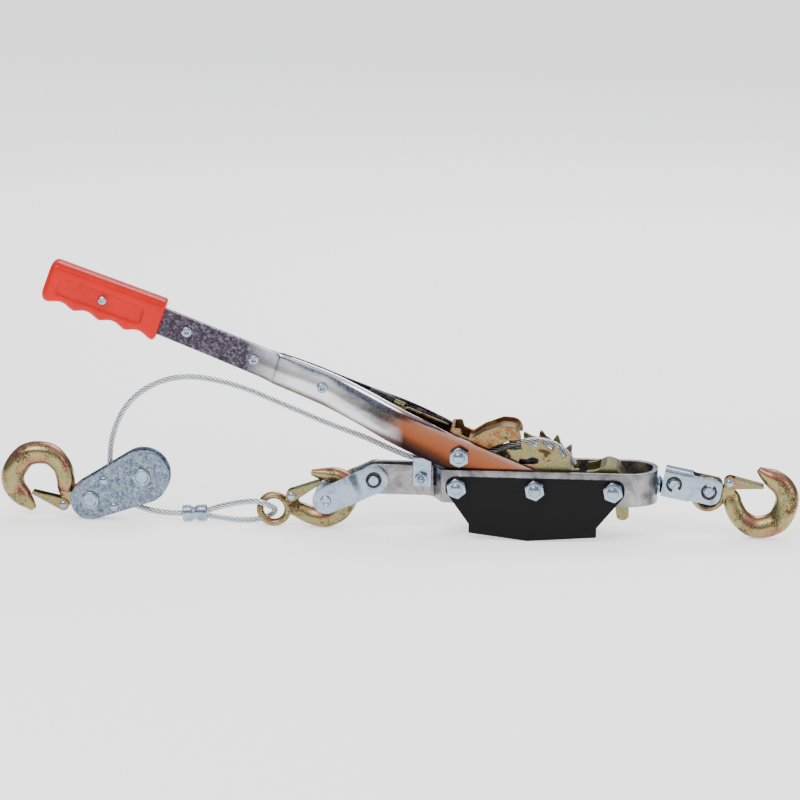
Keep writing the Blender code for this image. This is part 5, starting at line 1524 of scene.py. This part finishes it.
def latch_piece(name, node, stand, pivot, tilt):
    """A pressed latch: two cheeks and a web, tapering to its tip."""
    half = SLOT_HALF + GAP + 1.3
    body = plate(name, [sloped(belt((0, 0), 5.4, (LATCH_LENGTH, 0), 1.3), (0, 0), tilt),
                        circle(0, 0, LATCH_RIVET_R + GAP)], -half, half, 0.45)
    slot = SLOT_HALF + GAP
    end = LATCH_LENGTH + 6
    lower = sloped([(-9, -9), (end, -9), (end, -0.3), (2, 3.7), (-9, 3.7)], (0, 0), tilt)
    inner = plate("inner", [lower], -slot, slot, 0.01)
    body = cut(body, inner, box("back", -9, 4.5, -slot, slot, -9, 9))
    place = hook_matrix(stand) @ Matrix.Translation(Vector((pivot[0], 0, pivot[1])) * MM)
    body.data.transform(place)
    settle(body, "chromate", node, sharp=35)
    rivet_at = place.translation / MM
    edge = half + 0.2
    dome = [(3.7 * math.sin(math.radians(a)), edge + 1.7 * math.cos(math.radians(a)))
            for a in range(0, 91, 10)]
    profile = dome + [(LATCH_RIVET_R, edge), (LATCH_RIVET_R, -edge)] + [(r, -h) for r, h in reversed(dome)]
    rivet = turned(name + "_rivet", profile, across(rivet_at.x, rivet_at.z, rivet_at.y), 40)
    hook_body = BODY_OF[node.replace("latch", "hook")]
    settle(rivet, "zinc", body=hook_body)


def build_hooks():
    forged_hook("rear_hook_forging", "rear_hook", REAR_HOOK, bowl_path(), LATCH_PIVOT, BOSS_ROOT)
    forged_hook("block_hook_forging", "block_hook", BLOCK_HOOK, bowl_path(), LATCH_PIVOT, BOSS_ROOT)
    forged_hook("end_hook_forging", "end_hook", END_HOOK, end_bowl_path(), END_LATCH_PIVOT, END_BOSS_ROOT)


def build_latches():
    tilt = math.radians(-1.0)
    latch_piece("rear_latch_finished", "rear_latch", REAR_HOOK, LATCH_PIVOT, tilt)
    latch_piece("block_latch_finished", "block_latch", BLOCK_HOOK, LATCH_PIVOT, tilt)
    latch_piece("end_latch_finished", "end_latch", END_HOOK, END_LATCH_PIVOT, math.radians(0.5))


# ---- pulley block -----------------------------------------------------------------------------

def build_block():
    outline = belt(SHEAVE_AXLE, 24.6, BLOCK_PIN, 18.3, math.radians(4))
    for side in ("near", "far"):
        node = f"block_plate_{side}"
        holes = [circle(*place, BLOCK_PIN_R + GAP) for place in (SHEAVE_AXLE, BLOCK_PIN)]
        holes += [circle(*middle(f"keeper_rivet_{i}"), KEEPER_R + GAP) for i in (1, 2)]
        settle(plate(f"block_cheek_{side}", [outline, *holes], *reach(node), 0.5), "spangle", node)
    for i in (1, 2):
        node = f"keeper_rivet_{i}"
        x, z = middle(node)
        y0, y1 = reach(node)
        ends = points_object(f"keeper_{i}", [(x, y0 + 1.9, z), (x, y1 - 1.9, z)])
        heads = grown(ends, tree_of(head_tree), "zinc", Radius=3.8 * MM, Height=1.8 * MM, Rotation=TO_NEAR)
        shank = rod("shank", x, z, KEEPER_R, y0 + 1.9, y1 - 1.9, 24)
        settle(joined(f"keeper_{i}", heads, shank), "zinc", node)
    for node, at in (("sheave_axle", SHEAVE_AXLE), ("block_hook_pin", BLOCK_PIN)):
        y0, y1 = reach(node)
        top = (y1 - y0) / 2
        side = rounded([(0, top - 1.1, 0), (5.4, top - 1.1, 0.3), (6.1, top, 0.5), (7.8, top - 0.6, 0.8),
                        (7.8, top - 2.6, 0.2), (BLOCK_PIN_R, top - 2.6, 0)], math.radians(20))
        profile = side + [(r, -h) for r, h in reversed(side)]
        pin = turned(f"{node}_finished", profile, across(*at, BLOCK_Y), 64)
        settle(pin, "zinc", node)
    groove = rounded([(22.0, 6.0, 0.6), (22.0, 4.8, 0.5), (18.2, 2.4, 2.0), (17.6, 0, 1.6),
                      (18.2, -2.4, 2.0), (22.0, -4.8, 0.5), (22.0, -6.0, 0.6)])
    groove += [(5.4, -6.0), (5.4, 6.0)]
    settle(turned("sheave_wheel", groove, across(*SHEAVE_AXLE, BLOCK_Y), 72, loop=True), "zinc", "sheave")


# ---- cable ------------------------------------------------------------------------------------

# The cable's route from the top of the wound turns to the ferrule, and its loop: x, y, z
ON_DRUM = [(37.6 * math.cos(math.radians(a)), 0.0, 37.6 * math.sin(math.radians(a)))
           for a in (25, 45, 65, 85, 100)]
ROUTE = [
    (-23.5, 0, 32.8), (-41.5, 0, 26.0), (-56.0, 0, 20.6), (-68.5, 0, 18.2), (-85.0, 0, 18.0),
    (-103.0, 0, 18.1), (-115.9, 0, 19.9), (-135.5, 0.6, 27.4), (-155.0, 1.4, 35.6),
    (-179.5, 2.5, 44.2), (-199.0, 3.5, 51.4), (-231.0, 5.3, 64.0), (-263.4, 7.0, 76.4),
    (-292.0, 8.6, 83.6), (-315.0, 9.8, 85.6), (-337.4, 10.8, 82.0), (-360.0, 11.5, 70.2),
    (-376.0, 11.9, 52.6), (-385.4, 12.0, 30.0), (-388.2, 12.0, 9.0), (-386.4, 12.0, -8.0),
    (-380.6, 12.0, -22.0), (-370.0, 12.0, -32.4), (-357.0, 11.6, -37.8), (-343.0, 10.4, -40.4),
    (-330.0, 8.9, -41.0), (-321.9, 7.9, -40.6)]
LOOP = [
    (-298.1, 7.2, -36.9), (-288.0, 5.6, -33.2), (-275.0, 1.6, -29.0), (-262.0, -4.2, -25.6),
    (-251.5, -7.6, -24.2), (-244.2, -7.7, -26.2), (-239.2, -4.6, -29.4), (-236.6, 0.4, -32.4),
    (-237.0, 4.9, -35.6), (-240.6, 7.8, -39.4), (-247.0, 8.3, -42.6), (-256.0, 8.0, -44.6),
    (-270.0, 7.6, -45.0), (-285.0, 7.4, -43.6), (-298.1, 7.4, -41.9)]
FERRULE = (-310.0, 7.5, -39.8)


def rope_piece(name, node, points):
    sizes = bpy.context.scene.winch_sizes
    path = smooth(points, 6)
    rope = grown(line_object(name, path), tree_of(rope_tree), "rope", Diameter=sizes.rope, Lay=sizes.lay,
                 Strands=sizes.strands, Step=0.0008)
    settle(rope, "rope", node, sharp=60)
    return rope, [tuple(AXLE + Vector(p) * MM) for p in path]


def build_ferrule():
    half = 11.3
    waves = []
    steps = 44
    for k in range(steps + 1):
        h = half - 2 * half * k / steps
        end = min(1.0, (half - abs(h)) / 1.2)
        crimp = 1.9 * math.exp(-(h / 1.9) ** 2) + 0.35 * math.cos(h * 1.1) ** 2
        waves.append((7.8 - 1.3 * (1 - end) - crimp, h))
    profile = [(0, half), *waves, (0, -half)]
    place = (Matrix.Translation(Vector(FERRULE) * MM) @ Matrix.Rotation(math.radians(87), 4, "Y")
             @ Matrix.Diagonal((1.0, 0.72, 1.0, 1.0)))
    return settle(turned("crimped_ferrule", profile, place, 56), "zinc", "ferrule", sharp=45)


def build_cable():
    ferrule = build_ferrule()
    rope, path = rope_piece("rope_run", "free_cable", ON_DRUM + ROUTE)
    eye, path = rope_piece("rope_eye", "cable_loop", LOOP)


# ---- stage ------------------------------------------------------------------------------------

def build_stage():
    floor_mesh = bpy.data.meshes.new("floor")
    size = 40.0
    floor_mesh.from_pydata([(-size, -size, 0), (size, -size, 0), (size, size, 0), (-size, size, 0)], [],
                           [(0, 1, 2, 3)])
    floor = linked("floor", floor_mesh)
    paper, _, shader, _ = surface("pale_paper", 0.0, 0.9)
    shader.inputs["Base Color"].default_value = linear("#f7f7f6")
    shader.inputs["Emission Color"].default_value = linear("#ffffff")
    shader.inputs["Emission Strength"].default_value = 0.92
    floor.data.materials.append(paper)

    world = bpy.data.worlds.new("studio")
    bpy.context.scene.world = world
    world.use_nodes = True
    sky = world.node_tree
    direction = add_node(sky, "ShaderNodeTexCoord").outputs["Generated"]
    height = add_node(sky, "ShaderNodeSeparateXYZ", {"Vector": direction})
    ramp = add_node(sky, "ShaderNodeValToRGB", {"Fac": height.outputs["Z"]})
    set_stops(ramp, (0.0, linear("#4a4c52")), (0.16, linear("#3c3d44")), (0.42, linear("#b4bac4")),
              (0.75, linear("#ffffff")))
    backing = sky.nodes["Background"]
    sky.links.new(ramp.outputs[0], backing.inputs["Color"])
    backing.inputs["Strength"].default_value = 1.15

    centre = Vector((0, 0, 0.1))
    for name, at, size, power in (("key", (-0.7, -1.5, 1.7), 1.1, 30), ("fill", (1.6, -0.9, 0.7), 0.7, 8),
                                  ("back", (0.3, 1.5, 1.5), 1.4, 28)):
        lamp = bpy.data.lights.new(name, "AREA")
        lamp.size = size
        lamp.energy = power
        lamp_obj = bpy.data.objects.new(name, lamp)
        bpy.context.scene.collection.objects.link(lamp_obj)
        lamp_obj.location = at
        lamp_obj.rotation_euler = (centre - Vector(at)).to_track_quat("-Z", "Y").to_euler()

    azimuth, elevation, distance = math.radians(4.0), math.radians(12.0), 4.5
    target = Vector((0.0018, 0.0021, 0.1192))
    back = Vector((math.sin(azimuth) * math.cos(elevation), -math.cos(azimuth) * math.cos(elevation),
                   math.sin(elevation)))
    camera = bpy.data.cameras.new("camera")
    camera.sensor_width = 36
    camera.lens = 36 / (2 * math.tan(math.radians(9.14 / 2)))
    camera_obj = bpy.data.objects.new("camera", camera)
    bpy.context.scene.collection.objects.link(camera_obj)
    camera_obj.location = target + back * distance
    aim = (-back).to_track_quat("-Z", "Y").to_matrix().to_4x4()
    roll = Matrix.Rotation(math.radians(0.6), 4, "Z")
    camera_obj.rotation_euler = (aim @ roll).to_euler()
    bpy.context.scene.camera = camera_obj


# ---- operators, panel and main ----------------------------------------------------------------

class Steps:
    """What the operators share: each runs its steps in turn."""

    def execute(self, context):
        for step in self.steps:
            step()
        return {"FINISHED"}


class WINCH_OT_stage(Steps, bpy.types.Operator):
    """Set up the floor, the lights and the camera"""
    bl_idname = "winch.stage"
    bl_label = "Stage"
    steps = (build_stage,)


class WINCH_OT_cable(Steps, bpy.types.Operator):
    """Lay the wire rope, its loop and its ferrule"""
    bl_idname = "winch.cable"
    bl_label = "Cable"
    steps = (build_cable,)


class WINCH_OT_frame(Steps, bpy.types.Operator):
    """Build the strap frame, the black side plates and their bolts"""
    bl_idname = "winch.frame"
    bl_label = "Frame"
    steps = (build_strap, build_side_plates, build_frame_bolts)


class WINCH_OT_neck(Steps, bpy.types.Operator):
    """Build the cable guide and the front link"""
    bl_idname = "winch.neck"
    bl_label = "Neck"
    steps = (build_guide, build_front_link)


class WINCH_OT_drum(Steps, bpy.types.Operator):
    """Build the toothed wheels, the hub and the wound rope"""
    bl_idname = "winch.drum"
    bl_label = "Drum"
    steps = (build_wheels, build_drum)


class WINCH_OT_pawls(Steps, bpy.types.Operator):
    """Build the drive pawl and the hold pawl"""
    bl_idname = "winch.pawls"
    bl_label = "Pawls"
    steps = (build_drive_pawl, build_hold_pawl)


class WINCH_OT_handle(Steps, bpy.types.Operator):
    """Build the handle's cheeks, rivets and pawl spring"""
    bl_idname = "winch.handle"
    bl_label = "Handle"
    steps = (build_handle_plates, build_handle_spring)


class WINCH_OT_grip(Steps, bpy.types.Operator):
    """Build the moulded grip and its screw"""
    bl_idname = "winch.grip"
    bl_label = "Grip"
    steps = (build_grip,)


class WINCH_OT_rear(Steps, bpy.types.Operator):
    """Build the swivel and the rear link"""
    bl_idname = "winch.rear"
    bl_label = "Rear link"
    steps = (build_swivel, build_rear_link)


class WINCH_OT_hooks(Steps, bpy.types.Operator):
    """Forge the three slip hooks and press their latches"""
    bl_idname = "winch.hooks"
    bl_label = "Hooks"
    steps = (build_hooks, build_latches)


class WINCH_OT_block(Steps, bpy.types.Operator):
    """Build the pulley block and its sheave"""
    bl_idname = "winch.block"
    bl_label = "Pulley block"
    steps = (build_block,)


OPERATORS = (WINCH_OT_stage, WINCH_OT_cable, WINCH_OT_frame, WINCH_OT_neck, WINCH_OT_drum,
             WINCH_OT_pawls, WINCH_OT_handle, WINCH_OT_grip, WINCH_OT_rear, WINCH_OT_hooks,
             WINCH_OT_block)


class WINCH_PT_panel(bpy.types.Panel):
    """The winch's sizes, tints and steps"""
    bl_label = "Come-along winch"
    bl_space_type = "VIEW_3D"
    bl_region_type = "UI"
    bl_category = "Winch"

    def draw(self, context):
        for group in (context.scene.winch_sizes, context.scene.winch_colours):
            box_row = self.layout.box()
            for key in group.__annotations__:
                box_row.prop(group, key)
        for operator in OPERATORS:
            self.layout.operator(operator.bl_idname)


CLASSES = (WinchSizes, WinchColours, *OPERATORS, WINCH_PT_panel)


def register():
    for cls in CLASSES:
        bpy.utils.register_class(cls)
    bpy.types.Scene.winch_sizes = PointerProperty(type=WinchSizes)
    bpy.types.Scene.winch_colours = PointerProperty(type=WinchColours)


def unregister():
    del bpy.types.Scene.winch_colours
    del bpy.types.Scene.winch_sizes
    for cls in reversed(CLASSES):
        bpy.utils.unregister_class(cls)


def main():
    register()
    for operator in OPERATORS:
        group, name = operator.bl_idname.split(".")
        getattr(getattr(bpy.ops, group), name)()


if __name__ == "__main__":
    main()
